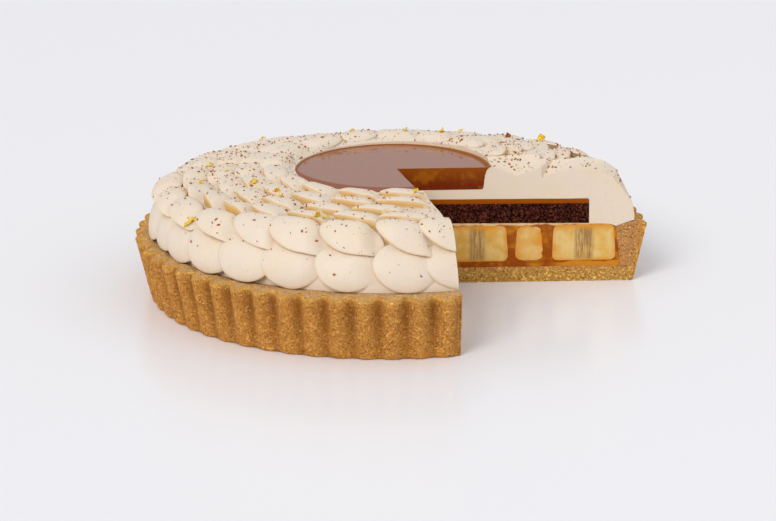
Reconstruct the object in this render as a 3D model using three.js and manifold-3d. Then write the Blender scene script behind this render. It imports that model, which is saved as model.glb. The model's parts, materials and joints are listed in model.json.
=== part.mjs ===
// A banoffee tart with one wedge taken out: fluted crust, caramel with banana slices, chocolate
// sponge, a thin caramel sheet, and a mound of cream piped in rings of petals round a caramel pool.
// Millimetres, +Z up. The origin is on the tart's axis at its underside, and -Y is its front.
import * as THREE from 'three';
import { mergeVertices } from 'three/addons/utils/BufferGeometryUtils.js';
import Module from 'manifold-3d';

const wasm = await Module();
wasm.setup();

// ---- Driving dimensions ----
const GAP = 0.3; // clearance between pieces that touch
const ROUND = 40; // sides of a plain round piece

const RIM_RADIUS = 120; // flute crests at the rim
const FOOT_RADIUS = 113.8; // flute crests at the foot
const CRUST_HEIGHT = 29.3;
const FLUTE_COUNT = 60;
const FLUTE_SIDES = 4; // flat facets to one flute
const FLUTE_DEPTH_FOOT = 1.3;
const FLUTE_DEPTH_RIM = 4.6;
const GROOVE_SHARPNESS = 1.2; // above 1, grooves are narrower than crests
const FLUTE_SLUMP = 0.6; // how far the rim drops over each crest
const FLUTE_FIRST = -81.1; // azimuth of one groove
const FLUTE_DRIFT = 1.7; // how far the grooves have wandered by azimuth 0

const WALL_INNER_TOP = 105.4; // inner radius of the crust wall at its top
const WALL_INNER_FOOT = 107.3;
const LEDGE_HEIGHT = 26.6; // inner edge of the rim's sloping top
const LEDGE_OUTER = 113.2;
const BASE_TOP = 7.3;

const FILLING_TOP = 29.1; // at the axis; it falls towards the wall
const FILLING_TOP_AT_SPONGE = 27.9;
const SPONGE_RADIUS = 92.5;
const SPONGE_TOP = 38.5;
const SHEET_RADIUS = 92.9;
const SHEET_TOP = 41;
const LAYER_SAG = 0.7; // how far the layers fall from the axis to their edge

const POOL_RADIUS = 45.8;
const POOL_FOOT_RADIUS = 42.2;
const POOL_TOP = 56.4;
const POOL_BOTTOM = 45.4;
const POOL_CENTRE = [1.05, 0.67];

const WEDGE_APEX = [2.7, 1.7];
const WEDGE_FROM = -76.1; // azimuths of the two cut planes
const WEDGE_TO = 0.82;
const FRONT_PULL = 4; // how far the mound's front edge sits in from a true circle
const FRONT_RISE = 4.8; // how far the top of the mound stands up at the front
const BACK_FALL = 4.8; // how far it hangs at the back

const SLICE_BOTTOM = 10.2;
const SLICE_TOP = 26.4;
const BANANA_SLICES = [ // centres, as a distance along a cut plane and a distance behind it
  { plane: WEDGE_TO, along: 8.4, behind: 7, radius: 14.6 },
  { plane: WEDGE_TO, along: 37.4, behind: -2.4, radius: 14.6 },
  { plane: WEDGE_TO, along: 61.6, behind: 10.5, radius: 12.2 },
  { plane: WEDGE_TO, along: 87.4, behind: 1.2, radius: 14.6 },
  { plane: WEDGE_FROM, along: 24, behind: 2, radius: 14.2 },
  { plane: WEDGE_FROM, along: 54.5, behind: 6, radius: 14.6 },
  { plane: WEDGE_FROM, along: 86, behind: -1.5, radius: 14.4 },
];

// Rings of piped petals, outermost first. A petal's spine is an arc that starts at its tip, at
// radius and height `tip`, and climbs inwards, turning from `tipAngle` to `rootAngle` over `length`.
const PETAL_ROWS = [
  { tip: [112.8, 29], tipAngle: 86, rootAngle: 34, length: 24, nose: 12.5, halfWidth: 13.8,
    lip: 4.6, crown: 2, tilt: 0.5, slope: 0.04, skew: 0.05, pitch: 12.9,
    seen: [-74.5, -87.5, -100.8, -114.7, -127.1, -138.8, -150.5, -160.6, -171.5] },
  { tip: [109, 45.8], tipAngle: 50, rootAngle: 6, length: 17.5, nose: 8.8, halfWidth: 14.2,
    lip: 5, crown: 1.7, tilt: 1, slope: 0.14, skew: 0.2, pitch: 13.6,
    seen: [-74.2, -85.3, -99.9, -113.7, -125.7, -139.7, -153.9, -166.6, -179.4] },
  { tip: [95.4, 54.6], tipAngle: 4, rootAngle: -12, length: 15.5, nose: 7.5, halfWidth: 13.6,
    lip: 6.4, crown: 1.5, tilt: 1.4, slope: 0.15, skew: 0.2, pitch: 14,
    seen: [-84.1, -97.2, -112.8, -126.8, -139.2, -152.2, -166] },
  { tip: [84.4, 56.4], tipAngle: 4, rootAngle: -12, length: 15.5, nose: 7.5, halfWidth: 14.4,
    lip: 5.8, crown: 1.5, tilt: 1.4, slope: 0.15, skew: 0.2, pitch: 18, seen: [-92.1] },
  { tip: [72.4, 58], tipAngle: 4, rootAngle: -10, length: 15.5, nose: 7, halfWidth: 12.8,
    lip: 5.8, crown: 1.4, tilt: 1.4, slope: 0.15, skew: 0.2, pitch: 18.9, seen: [-102.4] },
  { tip: [60.4, 60], tipAngle: 2, rootAngle: -8, length: 13.6, nose: 6.5, halfWidth: 11.6,
    lip: 6, crown: 0.8, tilt: 1.2, slope: 0.15, skew: 0.1, pitch: 21.2, seen: [-103.3] },
];
const PETAL_RAYS = [-130, -85, -42, 0, 42, 85, 130]; // directions of its outline's points
const SMALL_PETAL_RAYS = [-110, -52, 0, 52, 110]; // the same on the inner rings
const CUT_PETAL = 2; // how far past a cut plane, in azimuth, a petal's middle may lie
const PETAL_WANDER = 0.9; // uneven piping: millimetres of radius, and about as much azimuth

const COLOURS = {
  crust: 0xc08a4e, cream: 0xe9dac0, pool: 0x8a4a1c, sheet: 0x9a5a18,
  sponge: 0x3a1c14, filling: 0xb9752a, banana: 0xe8cf8e,
};

// ---- Solids ----

/** Makes a closed three.js geometry into a solid. */
function solidOf(geometry) {
  const plain = geometry.clone();
  plain.deleteAttribute('normal');
  plain.deleteAttribute('uv');
  const merged = mergeVertices(plain, 1e-4);
  return new wasm.Manifold(new wasm.Mesh({
    numProp: 3,
    vertProperties: new Float32Array(merged.attributes.position.array),
    triVerts: new Uint32Array(merged.index.array),
  }));
}

/** Makes a solid into a named mesh with its own plain material. */
function meshOf(name, solid, colour, roughness) {
  const { vertProperties, triVerts } = solid.getMesh();
  const geometry = new THREE.BufferGeometry();
  geometry.setAttribute('position', new THREE.BufferAttribute(vertProperties, 3));
  geometry.setIndex(new THREE.BufferAttribute(triVerts, 1));
  geometry.computeVertexNormals();
  const material = new THREE.MeshStandardMaterial({ color: colour, roughness, metalness: 0 });
  const mesh = new THREE.Mesh(geometry, material);
  mesh.name = name;
  return mesh;
}

/** Turns a profile of [radius, height] points about the Z axis. */
function revolve(profile, segments) {
  const outline = profile.map(([radius, height]) => new THREE.Vector2(radius, height));
  return new THREE.LatheGeometry(outline, segments).rotateX(Math.PI / 2);
}

/** Moves every vertex of a geometry to where `place` puts it. */
function reshape(geometry, place) {
  const position = geometry.attributes.position;
  const point = new THREE.Vector3();
  for (let i = 0; i < position.count; i += 1) {
    place(point.fromBufferAttribute(position, i));
    position.setXYZ(i, point.x, point.y, point.z);
  }
  return geometry;
}

const radians = THREE.MathUtils.degToRad;

/** An uneven number from -1 to 1, the same each time for the same petal. */
function wander(row, petal, kind) {
  const mixed = Math.sin(row * 12.9898 + petal * 78.233 + kind * 37.719) * 43758.5453;
  return 2 * (mixed - Math.floor(mixed)) - 1;
}

/** Draws the mound's front in from a true circle and up, and lets its back hang. */
function slump(point) {
  const { smoothstep } = THREE.MathUtils;
  const radius = Math.max(Math.hypot(point.x, point.y), 1);
  const backwards = point.y / radius;
  const front = Math.max(-backwards, 0) ** 2 * FRONT_RISE * smoothstep(radius, 45, 100);
  const back = Math.max(backwards, 0) ** 2 * BACK_FALL * smoothstep(radius, 55, 90);
  point.z += (front - back) * smoothstep(point.z, 46, 54);
  if (point.y < 0) point.y += FRONT_PULL * (point.y / RIM_RADIUS) ** 2;
}

// ---- The wedge ----

/** The prism between the two cut planes. */
function wedge() {
  const reach = 400;
  const corner = (azimuth) => new THREE.Vector2(
    WEDGE_APEX[0] + reach * Math.cos(radians(azimuth)),
    WEDGE_APEX[1] + reach * Math.sin(radians(azimuth)),
  );
  const outline = new THREE.Shape([new THREE.Vector2(...WEDGE_APEX), corner(WEDGE_FROM), corner(WEDGE_TO)]);
  const prism = new THREE.ExtrudeGeometry(outline, { depth: 120, bevelEnabled: false });
  return solidOf(prism.translate(0, 0, -20));
}

// ---- Crust ----

/** The fluted outside of the crust, solid right through. */
function flutedDisc() {
  const shell = revolve([
    [0, 0], [FOOT_RADIUS - 1.4, 0], [FOOT_RADIUS, 1.6], [RIM_RADIUS, CRUST_HEIGHT - 1.3],
    [RIM_RADIUS - 1.2, CRUST_HEIGHT], [0, CRUST_HEIGHT],
  ], FLUTE_COUNT * FLUTE_SIDES);
  return reshape(shell, (point) => {
    const radius = Math.hypot(point.x, point.y);
    if (radius < 1) return;
    const halfFacet = Math.PI / (FLUTE_COUNT * FLUTE_SIDES);
    const turn = Math.atan2(point.y, point.x) + Math.PI / 2 + halfFacet;
    const groove = ((1 + Math.cos(FLUTE_COUNT * turn)) / 2) ** GROOVE_SHARPNESS;
    const depth = THREE.MathUtils.lerp(FLUTE_DEPTH_FOOT, FLUTE_DEPTH_RIM, point.z / CRUST_HEIGHT);
    const fluted = radius - depth * groove;
    const drift = radians(FLUTE_DRIFT) * ((1 + Math.cos(turn + radians(FLUTE_FIRST))) / 2) ** 4;
    const azimuth = turn + radians(FLUTE_FIRST) + drift;
    point.x = fluted * Math.cos(azimuth);
    point.y = fluted * Math.sin(azimuth);
    if (point.z > 28) point.z -= FLUTE_SLUMP * (1 - groove);
  });
}

/** The hollow that holds the filling, with the rim's sloping top above it. */
function crustHollow() {
  const ledgeRise = CRUST_HEIGHT - LEDGE_HEIGHT;
  const ledgeRun = LEDGE_OUTER - WALL_INNER_TOP;
  return solidOf(revolve([
    [0, BASE_TOP], [WALL_INNER_FOOT - 0.7, BASE_TOP], [WALL_INNER_FOOT, BASE_TOP + 1.7],
    [WALL_INNER_TOP + 0.8, 19.7], [WALL_INNER_TOP, LEDGE_HEIGHT],
    [LEDGE_OUTER + ledgeRun / 2, CRUST_HEIGHT + ledgeRise / 2], [LEDGE_OUTER + ledgeRun / 2, 45], [0, 45],
  ], ROUND));
}

/** The whole crust before the wedge is taken out. */
function crust() {
  return solidOf(flutedDisc()).subtract(crustHollow());
}

// ---- What is inside ----

/** A disc with a slightly domed top and bottom. */
function sheetLayer(radius, bottom, top, sag) {
  return solidOf(revolve([
    [0, bottom], [radius, bottom - sag], [radius, top - sag - 0.6], [radius - 0.6, top - sag], [0, top],
  ], ROUND));
}

/** A banana slice standing on its cut end, or the pocket for one when it is grown by a gap. */
function bananaSlice({ plane, along, behind, radius }, grow) {
  const toCut = radians(plane);
  const side = plane === WEDGE_TO ? 1 : -1;
  const x = WEDGE_APEX[0] + along * Math.cos(toCut) - side * behind * Math.sin(toCut);
  const y = WEDGE_APEX[1] + along * Math.sin(toCut) + side * behind * Math.cos(toCut);
  const shape = new THREE.CylinderGeometry(
    radius - 0.6 + grow, radius + grow, SLICE_TOP - SLICE_BOTTOM + 2 * grow, 12,
  );
  shape.rotateX(Math.PI / 2).translate(x, y, (SLICE_TOP + SLICE_BOTTOM) / 2);
  return solidOf(shape);
}

/** Caramel that fills the crust up to the sponge, with a pocket for each banana slice. */
function caramelFilling() {
  const body = solidOf(revolve([
    [0, BASE_TOP + GAP], [WALL_INNER_FOOT - 1.1, BASE_TOP + GAP], [WALL_INNER_FOOT - 0.4, BASE_TOP + 2],
    [WALL_INNER_TOP + 0.4, 19.7], [WALL_INNER_TOP - GAP, LEDGE_HEIGHT - GAP],
    [WALL_INNER_TOP - 3, FILLING_TOP_AT_SPONGE - GAP], [SPONGE_RADIUS, FILLING_TOP_AT_SPONGE],
    [0, FILLING_TOP],
  ], ROUND));
  return BANANA_SLICES.reduce((rest, slice) => rest.subtract(bananaSlice(slice, GAP)), body);
}

/** A round body with the pool's tapered side, grown by a gap, and closed by a `lid` profile. */
function poolBody(grow, lid) {
  return solidOf(revolve([
    [0, POOL_BOTTOM - grow], [POOL_FOOT_RADIUS + grow, POOL_BOTTOM - grow],
    [POOL_FOOT_RADIUS + 0.9 + grow, POOL_BOTTOM + 0.9], [POOL_RADIUS + grow, POOL_TOP], ...lid,
  ], ROUND).translate(POOL_CENTRE[0], POOL_CENTRE[1], 0));
}

/** The caramel pool, with a raised edge where it clings to the cream. */
function caramelPool() {
  const surface = POOL_TOP - 0.35;
  return poolBody(0, [[POOL_RADIUS - 1.4, surface], [0, surface]]);
}

/** The well in the cream that the pool fills, open upwards. */
function poolWell() {
  return poolBody(GAP, [[POOL_RADIUS + GAP, 75], [0, 75]]);
}

// ---- Cream ----

/** The smooth mound that the petals are piped on. */
function creamMound() {
  const mound = revolve([
    [0, 20], [111, 20], [111, 29], [109.6, 34.5], [106, 42], [100.5, 48.4], [92, 52.6],
    [60, 56.6], [52, 58], [46.2, 57.6], [0, 57.2],
  ], 26);
  return solidOf(reshape(mound, slump));
}

/** The point at distance `along` inwards from a petal's tip, as radius, height and slope angle. */
function spine(row, along) {
  const start = radians(row.tipAngle);
  const bend = (radians(row.rootAngle) - start) / row.length;
  const angle = start + bend * along;
  return {
    radius: row.tip[0] - (Math.sin(angle) - Math.sin(start)) / bend,
    height: row.tip[1] + (Math.cos(start) - Math.cos(angle)) / bend,
    angle,
  };
}

/** One petal: a rounded scale bent along its spine, its left side raised and its right lowered. */
function petal(rowIndex, petalIndex, azimuth) {
  const row = PETAL_ROWS[rowIndex];
  const ring = radians(azimuth + PETAL_WANDER * 0.5 * wander(rowIndex, petalIndex, 1));
  const radiusShift = PETAL_WANDER * wander(rowIndex, petalIndex, 2);
  const size = 1 + 0.05 * wander(rowIndex, petalIndex, 3);
  const vertices = [];
  const faces = [];

  /** Adds the point at share `q` of the outline's reach in direction `ray`, raised by `lift`. */
  function addPoint(ray, q, lift) {
    const reach = Math.cos(ray) > 0 ? row.nose : row.length - row.nose;
    const inwards = -reach * Math.cos(ray) * q * size;
    const across = row.halfWidth * Math.sin(ray) * q * size;
    const along = row.nose + inwards - row.slope * across;
    const side = across - row.skew * inwards;
    const { radius, height, angle } = spine(row, along);
    const tilted = lift - row.tilt * (side / row.halfWidth);
    const out = radius + tilted * Math.sin(angle) + radiusShift;
    const point = new THREE.Vector3(
      out * Math.cos(ring) - side * Math.sin(ring),
      out * Math.sin(ring) + side * Math.cos(ring),
      height + tilted * Math.cos(angle),
    );
    slump(point);
    vertices.push(point.x, point.y, point.z);
    return vertices.length / 3 - 1;
  }

  const rays = (rowIndex < 2 ? PETAL_RAYS : SMALL_PETAL_RAYS).map(radians);
  const crown = addPoint(0, 0, row.crown);
  const edge = rays.map((ray) => addPoint(ray, 1, 0));
  const under = addPoint(0, 0, -row.lip);
  rays.forEach((_, i) => {
    const next = edge[(i + 1) % rays.length];
    faces.push(crown, edge[i], next, edge[i], under, next);
  });
  const geometry = new THREE.BufferGeometry();
  geometry.setAttribute('position', new THREE.Float32BufferAttribute(vertices, 3));
  geometry.setIndex(faces);
  return solidOf(geometry);
}

/** The azimuths of a ring's petals: those at the front as they lie, the rest evenly spaced. */
function petalAzimuths({ seen, pitch }) {
  const azimuths = [...seen];
  for (let next = seen[0] + pitch; next < WEDGE_FROM + CUT_PETAL; next += pitch) azimuths.push(next);
  const last = seen[seen.length - 1];
  for (let next = last - pitch; next > WEDGE_TO - 360 - CUT_PETAL; next -= pitch) azimuths.push(next);
  return azimuths;
}

/** Everything that lies under the cream, grown by a gap, so that the cream rests on it. */
function creamBed() {
  const ledgeTop = CRUST_HEIGHT + GAP;
  const bed = solidOf(revolve([
    [0, -1], [130, -1], [130, ledgeTop], [LEDGE_OUTER, ledgeTop], [WALL_INNER_TOP, LEDGE_HEIGHT + GAP],
    [WALL_INNER_TOP - 3, FILLING_TOP_AT_SPONGE], [SPONGE_RADIUS + 1, FILLING_TOP_AT_SPONGE + GAP],
    [0, FILLING_TOP + GAP],
  ], ROUND));
  return bed.add(sheetLayer(SHEET_RADIUS + GAP, 20, SHEET_TOP + GAP, LAYER_SAG));
}

/** The mound with all its petals, over the layers and round the pool. */
function cream() {
  let whole = creamMound();
  PETAL_ROWS.forEach((row, rowIndex) => {
    petalAzimuths(row).forEach((azimuth, petalIndex) => {
      whole = whole.add(petal(rowIndex, petalIndex, azimuth));
    });
  });
  return whole.subtract(creamBed()).subtract(poolWell());
}

// ---- The tart ----

const missingWedge = wedge();
const cut = (solid) => solid.subtract(missingWedge);
const spongeBottom = FILLING_TOP + GAP;
const tart = new THREE.Group();
tart.name = 'banoffee_tart';
tart.add(meshOf('crust', cut(crust()), COLOURS.crust, 0.85));
tart.add(meshOf('caramel_filling', cut(caramelFilling()), COLOURS.filling, 0.3));
BANANA_SLICES.forEach((slice, i) => {
  tart.add(meshOf(`banana_slice_${i + 1}`, cut(bananaSlice(slice, 0)), COLOURS.banana, 0.5));
});
tart.add(meshOf(
  'chocolate_sponge',
  cut(sheetLayer(SPONGE_RADIUS, spongeBottom, SPONGE_TOP, LAYER_SAG)),
  COLOURS.sponge,
  0.95,
));
tart.add(meshOf(
  'caramel_sheet',
  cut(sheetLayer(SHEET_RADIUS, SPONGE_TOP + GAP, SHEET_TOP, LAYER_SAG)),
  COLOURS.sheet,
  0.25,
));
tart.add(meshOf('cream', cut(cream()), COLOURS.cream, 0.6));
tart.add(meshOf('caramel_pool', cut(caramelPool()), COLOURS.pool, 0.08));

export default tart;
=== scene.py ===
"""The looks of a banoffee tart with one wedge taken out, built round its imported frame.

Sizes in the classes are millimetres and degrees, as on a baker's drawing; meshes are in metres.
The tart's axis is Z, its underside is at height 0, -Y is its front, and azimuth 0 is +X.
"""

import json
import logging
import math
from collections.abc import Callable, Sequence
from dataclasses import dataclass, field
from enum import Enum
from functools import reduce
from typing import Any

import bpy
import numpy as np
from bpy.types import Collection, Light, Material, Mesh, Node, NodeSocket, NodeTree, Object
from mathutils import Matrix, Vector, noise

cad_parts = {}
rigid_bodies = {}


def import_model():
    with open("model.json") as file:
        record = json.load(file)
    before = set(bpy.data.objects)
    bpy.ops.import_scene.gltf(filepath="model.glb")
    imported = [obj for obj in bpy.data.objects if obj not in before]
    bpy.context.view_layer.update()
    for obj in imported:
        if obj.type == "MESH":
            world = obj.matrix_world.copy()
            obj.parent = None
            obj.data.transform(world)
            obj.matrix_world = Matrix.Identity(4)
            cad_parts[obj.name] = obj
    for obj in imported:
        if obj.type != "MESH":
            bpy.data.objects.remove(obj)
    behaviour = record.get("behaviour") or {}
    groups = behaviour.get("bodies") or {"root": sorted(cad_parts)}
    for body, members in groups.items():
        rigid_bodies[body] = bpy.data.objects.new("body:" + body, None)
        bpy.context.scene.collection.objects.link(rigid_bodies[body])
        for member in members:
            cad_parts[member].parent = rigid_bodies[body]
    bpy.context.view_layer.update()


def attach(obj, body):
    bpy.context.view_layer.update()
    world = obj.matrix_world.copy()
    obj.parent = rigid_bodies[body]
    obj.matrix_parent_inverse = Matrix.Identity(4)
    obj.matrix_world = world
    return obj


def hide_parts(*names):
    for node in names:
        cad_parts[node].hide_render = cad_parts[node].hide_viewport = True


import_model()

LOG = logging.getLogger("banoffee_tart")
MM = 0.001
PER_SQUARE_METRE = 1 / MM**2
BODY = "root"

Triple = tuple[float, float, float]
Colour = Triple
Profile = list[tuple[float, float]]
Arrays = tuple[np.ndarray, np.ndarray, np.ndarray]


# ---- Meshes ----


@dataclass
class Shape:
    """A mesh in the making.

    Attributes:
        points: Vertex places in millimetres, one row each.
        faces: Vertex indices of each face, anticlockwise seen from outside.
        marks: Numbers or vectors kept on the vertices, by name.
    """

    points: np.ndarray
    faces: list[tuple[int, ...]]
    marks: dict[str, np.ndarray] = field(default_factory=dict)

    def placed(self, name: str) -> Object:
        """Makes the shape a smooth Blender object, in metres.

        Args:
            name: The object's name.

        Returns:
            The new object, linked to the scene.
        """
        mesh = bpy.data.meshes.new(name)
        mesh.from_pydata((self.points * MM).tolist(), [], self.faces)
        for mark, values in self.marks.items():
            marked(mesh, mark, values)
        mesh.shade_smooth()
        return linked(name, mesh)


def marked(mesh: Mesh, mark: str, values: np.ndarray) -> None:
    """Keeps numbers or vectors on a mesh's vertices.

    Args:
        mesh: The mesh.
        mark: The mark's name.
        values: One number or one row for each vertex.
    """
    kind, key = ("FLOAT", "value") if values.ndim == 1 else ("FLOAT_VECTOR", "vector")
    layer = mesh.attributes.new(mark, kind, "POINT")
    layer.data.foreach_set(key, np.asarray(values, np.float32).ravel())


def places_from(centre: list[float], piece: Object) -> np.ndarray:
    """Gives how far a piece's vertices lie from a centre, in millimetres."""
    return np.array([vertex.co for vertex in piece.data.vertices], np.float32) / MM - centre


def linked(name: str, data: Any) -> Object:
    """Puts a mesh, a light or a camera in the scene as a new object.

    Args:
        name: The object's name.
        data: What the object shows.

    Returns:
        The new object.
    """
    made = bpy.data.objects.new(name, data)
    bpy.context.scene.collection.objects.link(made)
    return made


def dropped(*objects: Object) -> None:
    """Removes helper objects together with their meshes."""
    for helper in objects:
        mesh = helper.data
        bpy.data.objects.remove(helper)
        bpy.data.meshes.remove(mesh)


def gathered(name: str, shapes: Sequence[Shape]) -> Collection:
    """Puts shapes in a collection that isn't part of the scene.

    Args:
        name: The collection's name, which the shapes' names start with.
        shapes: The shapes.

    Returns:
        The collection.
    """
    collection = bpy.data.collections.new(name)
    for number, shape in enumerate(shapes):
        made = shape.placed(f"{name}_{number}")
        bpy.context.scene.collection.objects.unlink(made)
        collection.objects.link(made)
    return collection


def scattered(collection: Collection) -> None:
    """Removes a collection of helper objects."""
    dropped(*collection.objects)
    bpy.data.collections.remove(collection)


def stepped(corners: Profile, step: float) -> Profile:
    """Walks a line through corners with points about `step` apart.

    Args:
        corners: The line's corners.
        step: The widest distance between neighbouring points.

    Returns:
        The points, both ends included.
    """
    walked = [corners[0]]
    for (r0, z0), (r1, z1) in zip(corners, corners[1:]):
        count = max(1, math.ceil(math.hypot(r1 - r0, z1 - z0) / step))
        walked += [(r0 + (r1 - r0) * k / count, z0 + (z1 - z0) * k / count) for k in range(1, count + 1)]
    return walked


def revolved(profile: Profile, sides: int = 160, centre: tuple[float, float] = (0, 0)) -> Shape:
    """Turns a profile about the Z axis into a closed solid.

    Args:
        profile: Radius and height, from the axis at the bottom round to the axis at the top.
        sides: How many columns go round.
        centre: Where the axis stands.

    Returns:
        The solid.
    """
    ring = np.array(profile[1:-1], float)
    turn = np.arange(sides) * (math.tau / sides)
    radius, height = ring[:, 0][:, None], ring[:, 1][:, None]
    grid = np.stack(np.broadcast_arrays(radius * np.cos(turn), radius * np.sin(turn), height), -1)
    points = np.vstack([grid.reshape(-1, 3), [0, 0, profile[0][1]], [0, 0, profile[-1][1]]])
    bottom, top = len(points) - 2, len(points) - 1
    last = (len(ring) - 1) * sides
    faces: list[tuple[int, ...]] = []
    for i in range(sides):
        j = (i + 1) % sides
        faces.append((bottom, j, i))
        faces += [(k + i, k + j, k + sides + j, k + sides + i) for k in range(0, last, sides)]
        faces.append((last + i, last + j, top))
    points[:, :2] += centre
    return Shape(points, faces)


def between(upper: np.ndarray, lower: np.ndarray) -> Shape:
    """Makes the closed solid between two grids of points.

    Args:
        upper: The upper points, rows backwards and columns to the right.
        lower: The lower points.

    Returns:
        The solid.
    """
    rows, columns = upper.shape[:2]
    count = rows * columns
    faces: list[tuple[int, ...]] = []
    for k in (i * columns + j for i in range(rows - 1) for j in range(columns - 1)):
        a, b, c, d = k, k + 1, k + columns + 1, k + columns
        faces += [(a, b, c, d), (count + d, count + c, count + b, count + a)]
    front, back = list(range(columns)), list(range(count - 1, count - columns - 1, -1))
    right = [i * columns + columns - 1 for i in range(1, rows - 1)]
    left = [i * columns for i in range(rows - 2, 0, -1)]
    border = front + right + back + left
    faces += [(b, a, a + count, b + count) for a, b in zip(border, border[1:] + border[:1])]
    return Shape(np.vstack([upper.reshape(-1, 3), lower.reshape(-1, 3)]), faces)


def levelled(grid: np.ndarray, height: float) -> np.ndarray:
    """Copies a grid of points onto one height."""
    return np.concatenate([grid[..., :2], np.full((*grid.shape[:2], 1), height)], -1)


def pole_faces(rings: int, rays: int) -> list[tuple[int, ...]]:
    """Joins rings of points that lie between a first point on top and a last one below.

    Args:
        rings: How many rings there are.
        rays: How many points each has.

    Returns:
        The faces.
    """
    last = 1 + (rings - 1) * rays
    faces: list[tuple[int, ...]] = []
    for i in range(rays):
        j = (i + 1) % rays
        faces.append((0, 1 + i, 1 + j))
        faces += [(k + j, k + i, k + rays + i, k + rays + j) for k in range(1, last, rays)]
        faces.append((last + j, last + i, last + rays))
    return faces


def carved(piece: Object, tools: Sequence[Object]) -> None:
    """Cuts tools out of a piece's mesh for good.

    Args:
        piece: The solid that is cut.
        tools: Closed solids that are taken away.
    """
    for tool in tools:
        cut = piece.modifiers.new("cut", "BOOLEAN")
        cut.operation, cut.solver, cut.object = "DIFFERENCE", "MANIFOLD", tool
    settled(piece)


def settled(piece: Object) -> None:
    """Makes a piece's modifiers part of its mesh.

    Args:
        piece: The object whose modifiers are used up.
    """
    evaluated = piece.evaluated_get(bpy.context.evaluated_depsgraph_get())
    mesh = bpy.data.meshes.new_from_object(evaluated)
    old = piece.data
    piece.modifiers.clear()
    piece.data = mesh
    mesh.name = piece.name
    bpy.data.meshes.remove(old)


def creased(piece: Object, material: Material | None = None, angle: float = 50) -> Object:
    """Shades a piece smooth apart from its sharp edges, and gives it its material.

    Args:
        piece: The object.
        material: The only material it then has, or None to leave the one it has.
        angle: Edges that bend by more than this many degrees stay sharp.

    Returns:
        The same object.
    """
    piece.data.shade_smooth()
    piece.data.set_sharp_from_angle(angle=math.radians(angle))
    if material:
        piece.data.materials.clear()
        piece.data.materials.append(material)
    return piece


def ripple(x: float, y: float, z: float, wave: float) -> float:
    """Smooth unevenness from -1 to 1 with the given wave length."""
    return noise.noise(Vector((x / wave, y / wave, z / wave)))


# ---- Node trees ----


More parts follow.
